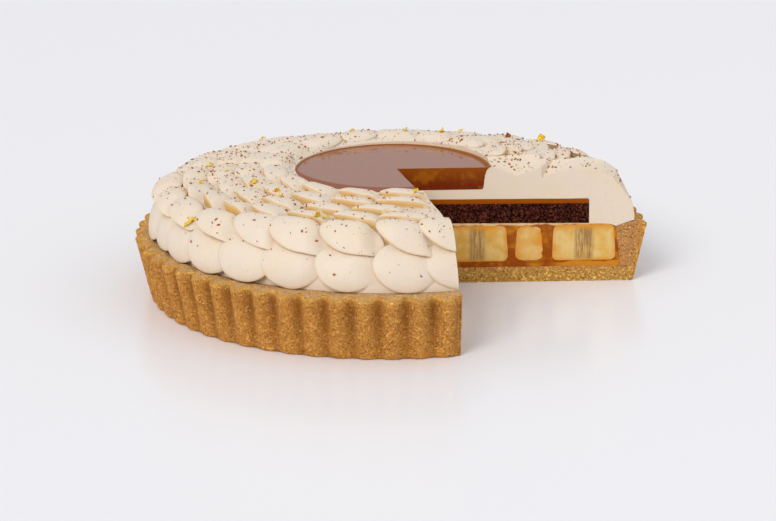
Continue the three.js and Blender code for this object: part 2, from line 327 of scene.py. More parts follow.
class Bench:
    """A node tree being wired up, with short ways to add nodes and join them."""

    def __init__(self, tree: NodeTree) -> None:
        """Starts work on a tree."""
        self.tree = tree

    @classmethod
    def group(cls, name: str, kind: str, inputs: dict[str, Any], outputs: dict[str, str]) -> "Bench":
        """Starts a new node group.

        Args:
            name: The group's name.
            kind: GeometryNodeTree or ShaderNodeTree.
            inputs: Each input's socket type, or its default number or vector.
            outputs: Each output's socket type.

        Returns:
            The bench for the new group, with its ends placed.
        """
        bench = cls(bpy.data.node_groups.new(name, kind))
        for label, value in inputs.items():
            socket = value if isinstance(value, str) else SOCKET_OF[type(value)]
            made = bench.tree.interface.new_socket(label, in_out="INPUT", socket_type=socket)
            if not isinstance(value, str):
                made.default_value = value
        for label, socket in outputs.items():
            bench.tree.interface.new_socket(label, in_out="OUTPUT", socket_type=socket)
        bench.start = bench.node("NodeGroupInput")
        bench.end = bench.node("NodeGroupOutput")
        return bench

    @classmethod
    def geometry(cls, name: str, inputs: dict[str, Any]) -> "Bench":
        """Starts a geometry tree, with a geometry and a material besides its other inputs."""
        ends = {"Geometry": "NodeSocketGeometry"}
        return cls.group(name, "GeometryNodeTree", {**ends, **inputs, "Material": "NodeSocketMaterial"}, ends)

    def finished(self, geometry: Any) -> "Bench":
        """Ends a geometry tree: instances are made real and the material is set.

        Args:
            geometry: What the tree has made.

        Returns:
            The same bench.
        """
        real = self.node("GeometryNodeRealizeInstances", {0: geometry}).outputs[0]
        dressed = self.node("GeometryNodeSetMaterial", {"Geometry": real, "Material": self.given("Material")})
        self.feed(self.end.inputs[0], dressed.outputs[0])
        return self

    def given(self, label: str) -> NodeSocket:
        """Gives one of the group's own inputs."""
        return self.start.outputs[label]

    def node(self, kind: str, feeds: dict[Any, Any] | None = None, **settings: Any) -> Node:
        """Adds a node.

        Args:
            kind: The node's type.
            feeds: What goes into its inputs, by name or number.
            settings: The node's own settings.

        Returns:
            The new node.
        """
        made = self.tree.nodes.new(kind)
        for key, value in settings.items():
            setattr(made, key, value)
        for key, value in (feeds or {}).items():
            self.feed(made.inputs[key], value)
        return made

    def feed(self, socket: NodeSocket, value: Any) -> None:
        """Links a socket into an input, or sets the input's own value.

        Args:
            socket: The input.
            value: Another node's output, or a plain value.
        """
        if isinstance(value, NodeSocket):
            self.tree.links.new(value, socket)
        else:
            socket.default_value = value

    def maths(self, operation: str, *values: Any, clamp: bool = False) -> NodeSocket:
        """Works out one number from others, kept from 0 to 1 if it is clamped."""
        feeds = dict(enumerate(values))
        return self.node("ShaderNodeMath", feeds, operation=operation, use_clamp=clamp).outputs[0]

    def times(self, *values: Any) -> Any:
        """Multiplies numbers."""
        return reduce(lambda product, value: self.maths("MULTIPLY", product, value), values)

    def vectors(self, operation: str, *values: Any, out: str = "Vector") -> NodeSocket:
        """Works out one vector, or a number from vectors.

        Args:
            operation: The Vector Math node's operation.
            values: Its inputs in order; a scale's factor is fed by the name Scale.
            out: Which output is wanted.

        Returns:
            The result's socket.
        """
        made = self.node("ShaderNodeVectorMath", operation=operation)
        for index, value in enumerate(values):
            self.feed(made.inputs["Scale" if operation == "SCALE" and index == 1 else index], value)
        return made.outputs[out]

    def ranged(self, value: Any, low: float, high: float, to_low: float = 0, to_high: float = 1) -> Any:
        """Maps a number from one range to another with soft ends."""
        feeds = {"Value": value, "From Min": low, "From Max": high, "To Min": to_low, "To Max": to_high}
        return self.node("ShaderNodeMapRange", feeds, interpolation_type="SMOOTHSTEP").outputs["Result"]

    def mixed(self, share: Any, low: Any, high: Any) -> NodeSocket:
        """Mixes two colours.

        Args:
            share: How much of the second one.
            low: The first colour.
            high: The second colour.

        Returns:
            The mixed colour's socket.
        """
        made = self.node("ShaderNodeMix", data_type="RGBA")
        self.feed(made.inputs[0], share)
        self.feed(made.inputs[6], opaque(low))
        self.feed(made.inputs[7], opaque(high))
        return made.outputs[2]

    def noise(self, place: Any, wave: float, detail: float = 2, rough: float = 0.5) -> NodeSocket:
        """Adds a smooth noise about 0.5, with its wave length in millimetres."""
        feeds = {"Vector": place, "Scale": 1 / (wave * MM), "Detail": detail, "Roughness": rough}
        return self.node("ShaderNodeTexNoise", feeds).outputs[0]

    def cells(self, place: Any, wave: float) -> Node:
        """Adds a cell pattern, with the cells' size in millimetres."""
        feeds = {"Vector": place, "Scale": 1 / (wave * MM), "Randomness": 1.0}
        return self.node("ShaderNodeTexVoronoi", feeds, feature="F1")

    def place(self) -> NodeSocket:
        """Gives each point's place, in a geometry tree."""
        return self.node("GeometryNodeInputPosition").outputs[0]

    def split(self, place: Any) -> tuple[Any, Any, Any, Any]:
        """Gives a place's three numbers and its distance from the axis."""
        x, y, z = self.node("ShaderNodeSeparateXYZ", {0: place}).outputs
        return x, y, z, self.vectors("LENGTH", self.vectors("MULTIPLY", place, (1, 1, 0)), out="Value")

    def piece(self, label: str) -> NodeSocket:
        """Gives the mesh of an object that the group is given."""
        return self.node("GeometryNodeObjectInfo", {"Object": self.given(label)}).outputs["Geometry"]

    def instanced(self, points: Any, label: str, pick: Any, turn: Any, size: Any) -> NodeSocket:
        """Puts one shape of a collection on each point.

        Args:
            points: The points.
            label: The group's input for the collection.
            pick: Which shape each point gets.
            turn: How that shape is turned.
            size: How large it is.

        Returns:
            The instances.
        """
        shapes = self.node("GeometryNodeCollectionInfo", {
            "Collection": self.given(label), "Separate Children": True, "Reset Children": True})
        return self.node("GeometryNodeInstanceOnPoints", {
            "Points": points, "Instance": shapes.outputs[0], "Pick Instance": True,
            "Instance Index": pick, "Rotation": turn, "Scale": size}).outputs[0]

    def landed(self, points: Any, target: Any) -> NodeSocket:
        """Drops points straight down onto a mesh.

        Args:
            points: The points.
            target: The mesh.

        Returns:
            The points where they land.
        """
        high = self.vectors("ADD", self.place(), (0, 0, 0.2))
        feeds = {"Target Geometry": target, "Source Position": high, "Ray Direction": (0, 0, -1),
                 "Ray Length": 1.0}
        hit = self.node("GeometryNodeRaycast", feeds).outputs["Hit Position"]
        return self.node("GeometryNodeSetPosition", {"Geometry": points, "Position": hit}).outputs[0]

    def mark(self, name: str, out: str = "Fac") -> NodeSocket:
        """Reads a mark that the mesh carries, in a material."""
        return self.node("ShaderNodeAttribute", attribute_name=name).outputs[out]

    def named(self, name: str, kind: str = "FLOAT") -> NodeSocket:
        """Reads a mark that the mesh carries, in a geometry tree."""
        return self.node("GeometryNodeInputNamedAttribute", {"Name": name}, data_type=kind).outputs[0]


SOCKET_OF = {float: "NodeSocketFloat", int: "NodeSocketInt", tuple: "NodeSocketVector"}


def opaque(colour: Any) -> Any:
    """Gives a plain colour its fourth number, and leaves a socket as it is."""
    return (*colour, 1) if isinstance(colour, tuple) else colour


def principled(
    name: str, colour: Colour, roughness: float, sheen: float, **more: Any,
) -> tuple[Bench, Node, Material]:
    """Makes a material whose shader has plain values.

    Args:
        name: The material's name.
        colour: Its colour.
        roughness: How matt it is.
        sheen: How much white light it throws back besides.
        more: Other values, by the names of the shader's inputs.

    Returns:
        The material's bench, its shader and the material.
    """
    material = bpy.data.materials.new(name)
    material.use_nodes = True
    shader = material.node_tree.nodes["Principled BSDF"]
    plain = {"Base Color": opaque(colour), "Roughness": roughness, "Specular IOR Level": sheen, **more}
    for label, value in plain.items():
        shader.inputs[label].default_value = value
    return Bench(material.node_tree), shader, material


def subsurface(weight: float, reach: Triple, scale: float) -> dict[str, Any]:
    """Lists the values that let light into a surface, with their scale in millimetres."""
    return {"Subsurface Weight": weight, "Subsurface Radius": reach, "Subsurface Scale": scale * MM}


def grown(start: Object, bench: Bench, inputs: dict[str, Any]) -> Object:
    """Runs a geometry tree on an object and keeps the result as its plain mesh.

    Args:
        start: The object the tree starts from.
        bench: The tree.
        inputs: Values for the tree's named inputs.

    Returns:
        The same object.
    """
    made = start.modifiers.new("grown", "NODES")
    made.node_group = bench.tree
    for item in bench.tree.interface.items_tree:
        if item.in_out == "INPUT" and item.name in inputs:
            made[item.identifier] = inputs[item.name]
    settled(start)
    return start


# ---- The wedge ----


class CutFace(Enum):
    """The two faces that the wedge leaves."""

    FRONT = "front"
    RIGHT = "right"


@dataclass(frozen=True)
class Cut:
    """How one knife stroke leaves a face.

    Attributes:
        setback: How far the face lies behind the cut plane.
        cell: The spacing of the face's own points.
        relief: Depth of the face at a place along the cut and a height, positive into the tart.
    """

    setback: float
    cell: float
    relief: Callable[[float, float, float], float]


@dataclass(frozen=True)
class Wedge:
    """The wedge that is missing, from its point outwards."""

    apex: tuple[float, float] = (2.7, 1.7)
    start: float = -76.1
    stop: float = 0.82
    reach: float = 160
    rough_reach: float = 124

    def azimuth(self, face: CutFace) -> float:
        """Gives a face's azimuth."""
        return self.stop if face is CutFace.RIGHT else self.start

    def plane(self, face: CutFace) -> tuple[np.ndarray, np.ndarray]:
        """Gives a cut face's direction and the way from it into the tart.

        Args:
            face: Which face.

        Returns:
            Two unit vectors in plan.
        """
        turn = math.radians(self.azimuth(face))
        side = 1 if face is CutFace.RIGHT else -1
        along = np.array([math.cos(turn), math.sin(turn)])
        return along, side * np.array([-math.sin(turn), math.cos(turn)])

    def mark_faces(self, piece: Object) -> None:
        """Marks the faces of a carved piece that the knife left with 1, the others with 0.

        Args:
            piece: The carved piece.
        """
        mesh = piece.data
        old = mesh.attributes.get("cut")
        if old:
            mesh.attributes.remove(old)
        centres = np.array([face.center for face in mesh.polygons], np.float32) / MM
        normals = np.array([face.normal for face in mesh.polygons], np.float32)
        cut = np.zeros(len(centres), bool)
        for face in CutFace:
            along, inwards = self.plane(face)
            place = centres[:, :2] - self.apex
            near = np.abs(place @ inwards) < 1.6
            cut |= near & (place @ along > -1) & (normals[:, :2] @ inwards < -0.35)
        mesh.attributes.new("cut", "FLOAT", "FACE").data.foreach_set("value", cut.astype(np.float32))

    def take_out(
        self, piece: Object, cut: Cut, low: float, high: float, pockets: Sequence[Object] = (),
    ) -> None:
        """Takes the wedge, and any pockets, out of a piece and marks what the knife left.

        Args:
            piece: The whole piece.
            cut: How the faces are left.
            low: The lowest height with relief.
            high: The highest height with relief.
            pockets: Other solids that are taken out before it.
        """
        knife = self.knife(f"{piece.name}_knife", cut, low, high)
        carved(piece, [*pockets, knife])
        dropped(knife, *pockets)
        self.mark_faces(piece)

    def knife(self, name: str, cut: Cut, low: float, high: float) -> Object:
        """Makes the solid that takes the wedge out of a layer.

        Args:
            name: The object's name.
            cut: How the faces are left.
            low: The lowest height with relief.
            high: The highest height with relief.

        Returns:
            The closed solid.
        """
        half = math.radians(self.stop - self.start) / 2
        middle = math.radians(self.stop + self.start) / 2
        back = cut.setback / math.sin(half)
        apex = np.array(self.apex) - back * np.array([math.cos(middle), math.sin(middle)])
        steps = math.ceil(self.rough_reach / cut.cell)
        reaches = [*np.linspace(0, self.rough_reach, steps + 1), self.reach]
        rows = max(1, math.ceil((high - low) / cut.cell))
        heights = [low - 20, *np.linspace(low, high, rows + 1), high + 40]
        track = [(CutFace.FRONT, s) for s in reversed(reaches)] + [(CutFace.RIGHT, s) for s in reaches[1:]]
        points = []
        for face, s in track:
            along, inwards = self.plane(face)
            inside = 0 < s < self.rough_reach
            for z in heights:
                depth = cut.relief(s, z, self.azimuth(face)) if inside and low <= z <= high else 0
                points.append((*(apex + s * along + depth * inwards), z))
        tall, wide = len(heights), len(track)
        faces: list[tuple[int, ...]] = [
            (k + row + 1, k + tall + row + 1, k + tall + row, k + row)
            for k in range(0, (wide - 1) * tall, tall) for row in range(tall - 1)
        ]
        faces.append(tuple(range(0, wide * tall, tall)))
        faces.append(tuple(range(wide * tall - 1, 0, -tall)))
        faces.append((*range((wide - 1) * tall, wide * tall), *range(tall - 1, -1, -1)))
        return Shape(np.array(points), faces).placed(name)


def clean_slice(depth: float, wave: float) -> Callable[[float, float, float], float]:
    """Makes the relief of a smooth stroke.

    Args:
        depth: How far the face wanders.
        wave: Over what length.

    Returns:
        The relief.
    """
    def relief(s: float, z: float, azimuth: float) -> float:
        """Gives the depth at a place along the cut, a height and the cut's azimuth."""
        return depth * ripple(s, azimuth, z * 1.6, wave)
    return relief


def crumbly_slice(lump: float, lump_wave: float, pore: float, pore_wave: float) -> Callable[..., float]:
    """Makes the relief of a torn crumb with pores.

    Args:
        lump: Height of the lumps.
        lump_wave: Their size.
        pore: Depth of the pores.
        pore_wave: Their spacing.

    Returns:
        The relief.
    """
    def relief(s: float, z: float, azimuth: float) -> float:
        """Gives the depth at a place along the cut, a height and the cut's azimuth."""
        place = Vector((s, azimuth, z))
        near = noise.voronoi(place / pore_wave)[0][0]
        lumps = noise.fractal(place / lump_wave, 0.6, 2.1, 3)
        return lump * lumps + pore * max(0.0, 1 - near / 0.42)
    return relief


WEDGE = Wedge()


# ---- Shared effects of the finishes ----


class Effects:
    """The shader groups that several finishes use, each built once."""

    def __init__(self) -> None:
        """Builds the groups."""
        self.crumb = self.crumb_grain()
        self.clouds = self.soft_clouds()

    def crumb_grain(self) -> NodeTree:
        """Builds the grain of baked crumb: pits, pale grains, grit, patches and a height."""
        bench = Bench.group(
            "crumb_grain", "ShaderNodeTree",
            {"Place": "NodeSocketVector", "Pit Size": 1.5, "Pit Share": 0.3, "Grain Size": 0.9},
            dict.fromkeys(("Pits", "Grains", "Grit", "Patches", "Height"), "NodeSocketFloat"),
        )
        place = bench.given("Place")
        pit_place = bench.vectors("SCALE", place, bench.maths("DIVIDE", 1.5, bench.given("Pit Size")))
        grain_place = bench.vectors("SCALE", place, bench.maths("DIVIDE", 0.9, bench.given("Grain Size")))
        bent = bench.node("ShaderNodeTexNoise", {"Vector": pit_place, "Scale": 700.0, "Detail": 1.0})
        wobble = bench.vectors("SCALE", bent.outputs["Color"], 0.0011)
        pit_cells = bench.cells(bench.vectors("ADD", pit_place, wobble), 1.5)
        shown = bench.maths("LESS_THAN", bench.node(
            "ShaderNodeSeparateColor", {0: pit_cells.outputs["Color"]}).outputs[0], bench.given("Pit Share"))
        pits = bench.times(bench.ranged(pit_cells.outputs["Distance"], 0.46, 0.22), shown)
        grain_cells = bench.cells(bench.vectors("ADD", grain_place, (0.31, 0.17, 0.53)), 0.9)
        bright = bench.maths("GREATER_THAN", bench.node(
            "ShaderNodeSeparateColor", {0: grain_cells.outputs["Color"]}).outputs[1], 0.8)
        grains = bench.times(bench.ranged(grain_cells.outputs["Distance"], 0.4, 0.15), bright)
        patches = bench.noise(place, 4.5, 4, 0.65)
        fine = bench.noise(bench.vectors("ADD", pit_place, wobble), 1.5, 4, 0.72)
        grit = bench.ranged(fine, 0.40, 0.60)
        height = bench.maths("ADD", bench.maths("SUBTRACT", grit, bench.times(pits, 0.9)),
                             bench.times(grains, 0.4))
        outputs = {"Pits": pits, "Grains": grains, "Grit": grit, "Patches": patches, "Height": height}
        for label, value in outputs.items():
            bench.feed(bench.end.inputs[label], value)
        return bench.tree

    def soft_clouds(self) -> NodeTree:
        """Builds broad, soft unevenness of tone with a fine ripple as its height."""
        bench = Bench.group(
            "soft_clouds", "ShaderNodeTree",
            {"Place": "NodeSocketVector", "Cloud Size": 14.0, "Ripple Size": 2.5},
            dict.fromkeys(("Clouds", "Height"), "NodeSocketFloat"),
        )
        place = bench.given("Place")
        cloud_place = bench.vectors("SCALE", place, bench.maths("DIVIDE", 14.0, bench.given("Cloud Size")))
        ripple_place = bench.vectors("SCALE", place, bench.maths("DIVIDE", 2.5, bench.given("Ripple Size")))
        bench.feed(bench.end.inputs["Clouds"], bench.noise(cloud_place, 14, 3, 0.55))
        bench.feed(bench.end.inputs["Height"], bench.noise(ripple_place, 2.5, 3, 0.5))
        return bench.tree


@dataclass(frozen=True)
class Finish:
    """A surface finish; each kind of food has its own.

    Attributes:
        effects: The shader groups that finishes share.
        colour: Its main colour.
        roughness: How matt it is.
        sheen: How much white light it throws back besides.
    """

    effects: Effects
    colour: Colour
    roughness: float
    sheen: float = 0.1

    def begin(self, name: str, **more: Any) -> tuple[Bench, Node, Material]:
        """Starts a material with the finish's plain values and any more of them."""
        return principled(name, self.colour, self.roughness, self.sheen, **more)

    @staticmethod
    def place(bench: Bench) -> NodeSocket:
        """Gives the point being shaded, in the tart's own metres."""
        return bench.node("ShaderNodeTexCoord").outputs["Object"]

    @staticmethod
    def bump(bench: Bench, shader: Node, height: Any, depth: float, strength: float = 1) -> None:
        """Feeds a height into the shader's normal; a height of 1 stands for `depth` millimetres."""
        feeds = {"Height": height, "Distance": depth * MM, "Strength": strength}
        bench.feed(shader.inputs["Normal"], bench.node("ShaderNodeBump", feeds).outputs[0])

    def effect(self, bench: Bench, tree: NodeTree, feeds: dict[str, Any]) -> Node:
        """Places a shared group in a material."""
        return bench.node("ShaderNodeGroup", {"Place": self.place(bench), **feeds}, node_tree=tree)

    def crumbs(self, bench: Bench, pit: float, share: float, grain: float) -> Node:
        """Places the grain of crumb, with the pits' size and share and the grains' size."""
        sizes = {"Pit Size": pit, "Pit Share": share, "Grain Size": grain}
        return self.effect(bench, self.effects.crumb, sizes)

    def cloudy(self, bench: Bench, cloud: float, fine: float) -> Node:
        """Places soft clouds, with their size and that of the ripple on them."""
        return self.effect(bench, self.effects.clouds, {"Cloud Size": cloud, "Ripple Size": fine})


@dataclass(frozen=True)
class CrustFinish(Finish):
    """Baked biscuit crust: golden outside, paler on top, open crumb where it is cut."""

    # The groove colour is painted shade deep in the flutes; it is also the darker tone of the crust's random
    # patches.
    groove: Colour = (0.34, 0.115, 0.018)
    # The edge colour is a painted highlight: a lighter golden orange along the rim's upper edge, where it
    # catches the light.
    edge: Colour = (1.0, 0.53, 0.13)
    top: Colour = (0.94, 0.57, 0.235)
    crumb: Colour = (1.0, 0.60, 0.15)
    wall_crumb: Colour = (0.87, 0.43, 0.15)
    skin: Colour = (0.95, 0.48, 0.07)
    # The pit colour is painted shade in the crumb's pits and hollows.
    pit: Colour = (0.40, 0.14, 0.017)
    # The grain colour is painted glints on the crumb's pale grains.
    grain: Colour = (0.92, 0.70, 0.36)

    def near_skin(self, bench: Bench) -> NodeSocket:
        """Works out how near a point of the crumb lies to the browned outside.

        Args:
            bench: The material's bench.

        Returns:
            The nearness, 1 at the outside.
        """
        _, _, z, radius = bench.split(self.place(bench))
        inset = bench.maths("MULTIPLY_ADD", z, -0.21, radius)
        uneven = bench.times(bench.noise(self.place(bench), 2.5, 3), 1.6 * MM)
        return bench.ranged(bench.maths("ADD", inset, uneven), 111.6 * MM, 113.4 * MM)

    def material(self) -> Material:
        """Makes the material."""
        bench, shader, material = self.begin("baked_crust")
        cut = bench.mark("cut")
        height = bench.split(self.place(bench))[2]
        grain = self.crumbs(bench, 1.2, 0.5, 1.05)
        patches, grit = grain.outputs["Patches"], grain.outputs["Grit"]
        wall = bench.ranged(bench.maths("MULTIPLY_ADD", patches, 6 * MM, height), 8.2 * MM, 10.2 * MM)
        # Painted shade: the grooves are painted darker, more so higher up the side.
        sunk = bench.times(bench.maths("POWER", bench.mark("groove"), 2.2),
                           bench.ranged(height, 2 * MM, 22 * MM, 0.45, 0.85))
        outside = bench.mixed(sunk, self.colour, self.groove)
        # Random darker patches, in the groove colour.
        outside = bench.mixed(bench.ranged(patches, 0.45, 0.72, 0, 0.35), outside, self.groove)
        outside = bench.mixed(bench.mark("top"), outside, self.top)
        # Painted highlight along the rim's edge, unevenly strong.
        baked = bench.times(bench.mark("edge"), bench.ranged(patches, 0.35, 0.6, 0.6, 1.0))
        outside = bench.mixed(baked, outside, self.edge)
        inside = bench.mixed(bench.times(self.near_skin(bench), 0.8),
                             bench.mixed(wall, self.crumb, self.wall_crumb), self.skin)
        plain = bench.mixed(cut, outside, inside)
        # Painted shade: the crumb's grit and pits are darkened, more on the cut faces and less on the smooth
        # top and rim edge.
        open_crumb = bench.times(cut, bench.maths("MULTIPLY_ADD", wall, -0.25, 0.3))
        dark = bench.maths("ADD", bench.times(bench.maths("SUBTRACT", 1.0, grit),
                                              bench.maths("ADD", open_crumb, 0.44)),
                           bench.times(grain.outputs["Pits"], 0.45), clamp=True)
        smooth = bench.times(bench.maths("ADD", bench.mark("top"), baked, clamp=True),
                             bench.maths("MULTIPLY_ADD", cut, -0.4, 0.4))
        dark = bench.times(dark, bench.maths("SUBTRACT", 1.0, smooth))
        shaded = bench.mixed(dark, plain, self.pit)
        # Painted highlights: pale glints on the crumb's grains, a little stronger on the cut faces.
        pale = bench.times(grain.outputs["Grains"], bench.maths("MULTIPLY_ADD", cut, 0.1, 0.65))
        bench.feed(shader.inputs["Base Color"], bench.mixed(pale, shaded, self.grain))
        bench.feed(shader.inputs["Roughness"], bench.ranged(patches, 0.3, 0.7, self.roughness - 0.15,
                                                            self.roughness + 0.1))
        self.bump(bench, shader, grain.outputs["Height"], 0.45)
        return material


@dataclass(frozen=True)
class CreamFinish(Finish):
    """Whipped cream with a little coffee in it, spread with a palette knife."""

    deep: Colour = (0.83, 0.64, 0.40)
    # The lip colour is painted shade: the petals' lip faces are painted a darker, warmer yellow for the shade
    # and bounced light they get.
    lip: Colour = (0.75, 0.48, 0.15)
    fleck: Colour = (0.75, 0.42, 0.20)

    def material(self) -> Material:
        """Makes the material."""
        bench, shader, material = self.begin("whipped_cream", **subsurface(0.22, (1.0, 0.55, 0.3), 2.2))
        clouds = self.cloudy(bench, 16.0, 2.2)
        tone = bench.mixed(bench.ranged(clouds.outputs["Clouds"], 0.4, 0.75, 0, 0.3), self.colour, self.deep)
        # Painted shade on the petals' lip faces.
        tone = bench.mixed(bench.mark("lip"), tone, self.lip)
        flecks = self.crumbs(bench, 3.2, 0.16, 1.6)
        speck = bench.times(flecks.outputs["Grains"], 0.2)
        bench.feed(shader.inputs["Base Color"], bench.mixed(speck, tone, self.fleck))
        strokes = bench.noise(bench.mark("stroke", "Vector"), 1.0, 3, 0.5)
        height = bench.maths("MULTIPLY_ADD", strokes, 0.7, clouds.outputs["Height"])
        self.bump(bench, shader, height, 0.12)
        return material


@dataclass(frozen=True)
class CaramelFinish(Finish):
    """Clear caramel: glossy and red-brown where it is deep, amber in a painted band along a brim and in
    painted glow where it is cut.

    Attributes:
        deep: The colour low down.
        low: The height where that colour is reached, in millimetres.
        high: The height where the main colour is reached.
        film: The colour of a thin film on top.
        film_height: The height from which that film shows.
        thin: The colour of a band painted along a brim, standing in for how the surface reflects there.
        amber: The colour of patches that light shines through, where it is cut.
        glow: How strong those patches are.
        gloss: How much clear gloss lies on what isn't cut.
        glints: How much gloss lies in spots on what is cut.
    """

    deep: Colour = (0.17, 0.022, 0.004)
    low: float = 45
    high: float = 55
    film: Colour = (0.80, 0.55, 0.26)
    film_height: float = 100
    thin: Colour = (0.42, 0.20, 0.012)
    amber: Colour = (0.68, 0.27, 0.018)
    glow: float = 0.0
    gloss: float = 1.0
    glints: float = 0.5

    def material(self, name: str) -> Material:
        """Makes the material.

        Args:
            name: Its name.

        Returns:
            The material.
        """
        bench, shader, material = self.begin(name, **{"Coat Roughness": 0.07})
        clouds = self.cloudy(bench, 7.0, 3.0)
        spots = self.crumbs(bench, 2.4, 0.3, 2.0)
        _, _, height, out = bench.split(self.place(bench))
        wander = bench.times(clouds.outputs["Clouds"], 4 * MM)
        level = bench.maths("ADD", height, wander)
        depth = bench.ranged(level, (self.low + 2) * MM, (self.high + 2) * MM)
        clear = bench.mixed(depth, self.deep, self.colour)
        film = bench.ranged(level, (self.film_height + 1.4) * MM, (self.film_height + 2.6) * MM)
        brim = bench.mark("brim")
        cut = bench.mark("cut")
        # Painted light: amber patches where light shines through the cut caramel, and a band of them low down
        # near the outside.
        patches = bench.ranged(bench.noise(self.place(bench), 6, 2, 0.6), 0.44, 0.7, 0, self.glow)
        low_glow_band = bench.times(bench.ranged(level, (self.low + 4.2) * MM, (self.low + 3.2) * MM),
                                  bench.ranged(out, 72 * MM, 82 * MM, 0, self.glow * 1.2))
        patches = bench.maths("MAXIMUM", patches, low_glow_band)
        clear = bench.mixed(bench.times(patches, cut), clear, self.amber)
        # Painted reflection: a band along the brim, painted in the thin colour with the gloss left off.
        bench.feed(shader.inputs["Base Color"], bench.mixed(
            bench.ranged(brim, 0.72, 0.92), bench.mixed(film, clear, self.film), self.thin))
        covered = bench.maths("ADD", cut, bench.ranged(brim, 0.02, 0.22, 0, 0.92), clamp=True)
        whole = bench.times(bench.maths("SUBTRACT", 1.0, covered), self.gloss)
        spotted = bench.times(spots.outputs["Pits"], cut, self.glints)
        bench.feed(shader.inputs["Coat Weight"], bench.maths("ADD", whole, spotted))
        self.bump(bench, shader, clouds.outputs["Height"], 0.12, 0.6)
        return material


@dataclass(frozen=True)
class BananaFinish(Finish):
    """Ripe banana: pale flesh, a darker streaked core, caramel soaked in at its rim."""

    flesh_deep: Colour = (0.72, 0.41, 0.075)
    core: Colour = (0.33, 0.18, 0.065)
    soaked: Colour = (0.74, 0.30, 0.035)

    def material(self) -> Material:
        """Makes the material."""
        bench, shader, material = self.begin("banana_flesh", **subsurface(0.15, (1.0, 0.6, 0.25), 2))
        clouds = self.cloudy(bench, 7.0, 1.6)
        place = bench.mark("slice_place", "Vector")
        out = bench.split(place)[3]
        stretched = bench.vectors("MULTIPLY", place, (1, 1, 0.12))
        streaks = bench.noise(stretched, 1.1, 3, 0.6)
        wide = bench.maths("MULTIPLY_ADD", bench.maths("SUBTRACT", streaks, 0.5), 3.5 * MM, out)
        core = bench.ranged(wide, 5.6 * MM, 3.4 * MM)
        streaked = bench.times(core, bench.ranged(streaks, 0.35, 0.6, 0.3, 0.9))
        flesh = bench.mixed(bench.ranged(clouds.outputs["Clouds"], 0.38, 0.7), self.colour, self.flesh_deep)
        fibres = bench.ranged(bench.noise(stretched, 2.6, 4, 0.7), 0.42, 0.68, 0, 0.4)
        flesh = bench.mixed(fibres, flesh, self.flesh_deep)
        rim = bench.mark("rim")
        soak = bench.times(rim, bench.ranged(clouds.outputs["Clouds"], 0.25, 0.6, 0.35, 1))
        coloured = bench.mixed(soak, bench.mixed(streaked, flesh, self.core), self.soaked)
        bench.feed(shader.inputs["Base Color"], coloured)
        self.bump(bench, shader, bench.maths("ADD", streaks, clouds.outputs["Height"]), 0.25, 0.7)
        return material


@dataclass(frozen=True)
class SpongeFinish(Finish):
    """Dark chocolate sponge with open pores, shade painted into its pores and highlights onto its grains."""

    # The pore colour is painted shade; the lit colour is painted highlight on the grains.
    pore: Colour = (0.008, 0.001, 0.001)
    lit: Colour = (0.46, 0.15, 0.09)

    def material(self) -> Material:
        """Makes the material."""
        bench, shader, material = self.begin("chocolate_crumb")
        grain = self.crumbs(bench, 1.15, 0.45, 0.85)
        # Painted light: the grit and pits go to the near-black pore colour as shade, and the grains to the
        # lit colour as highlights.
        tone = bench.mixed(grain.outputs["Grit"], self.pore, self.colour)
        light = bench.times(grain.outputs["Grains"], 0.7)
        tone = bench.mixed(bench.maths("MULTIPLY_ADD", grain.outputs["Grit"], 0.15, light), tone, self.lit)
        tone = bench.mixed(bench.times(grain.outputs["Pits"], 0.85), tone, self.pore)
        bench.feed(shader.inputs["Base Color"], tone)
        self.bump(bench, shader, grain.outputs["Height"], 0.5)
        return material


@dataclass(frozen=True)
class FleckFinish(Finish):
    """Grated chocolate or beaten leaf: one colour that varies from flake to flake.

    Attributes:
        other: The colour it varies to.
        metal: How metallic it is.
        vary: The size of the patches that vary.
    """

    other: Colour = (0.42, 0.15, 0.05)
    metal: float = 0.0
    vary: float = 1.5

    def material(self, name: str) -> Material:
        """Makes the material.

        Args:
            name: Its name.

        Returns:
            The material.
        """
        bench, shader, material = self.begin(name, Metallic=self.metal)
        clouds = self.cloudy(bench, self.vary, 0.6)
        share = bench.ranged(clouds.outputs["Clouds"], 0.35, 0.65)
        bench.feed(shader.inputs["Base Color"], bench.mixed(share, self.colour, self.other))
        self.bump(bench, shader, clouds.outputs["Height"], 0.06)
        return material


# ---- Crust ----


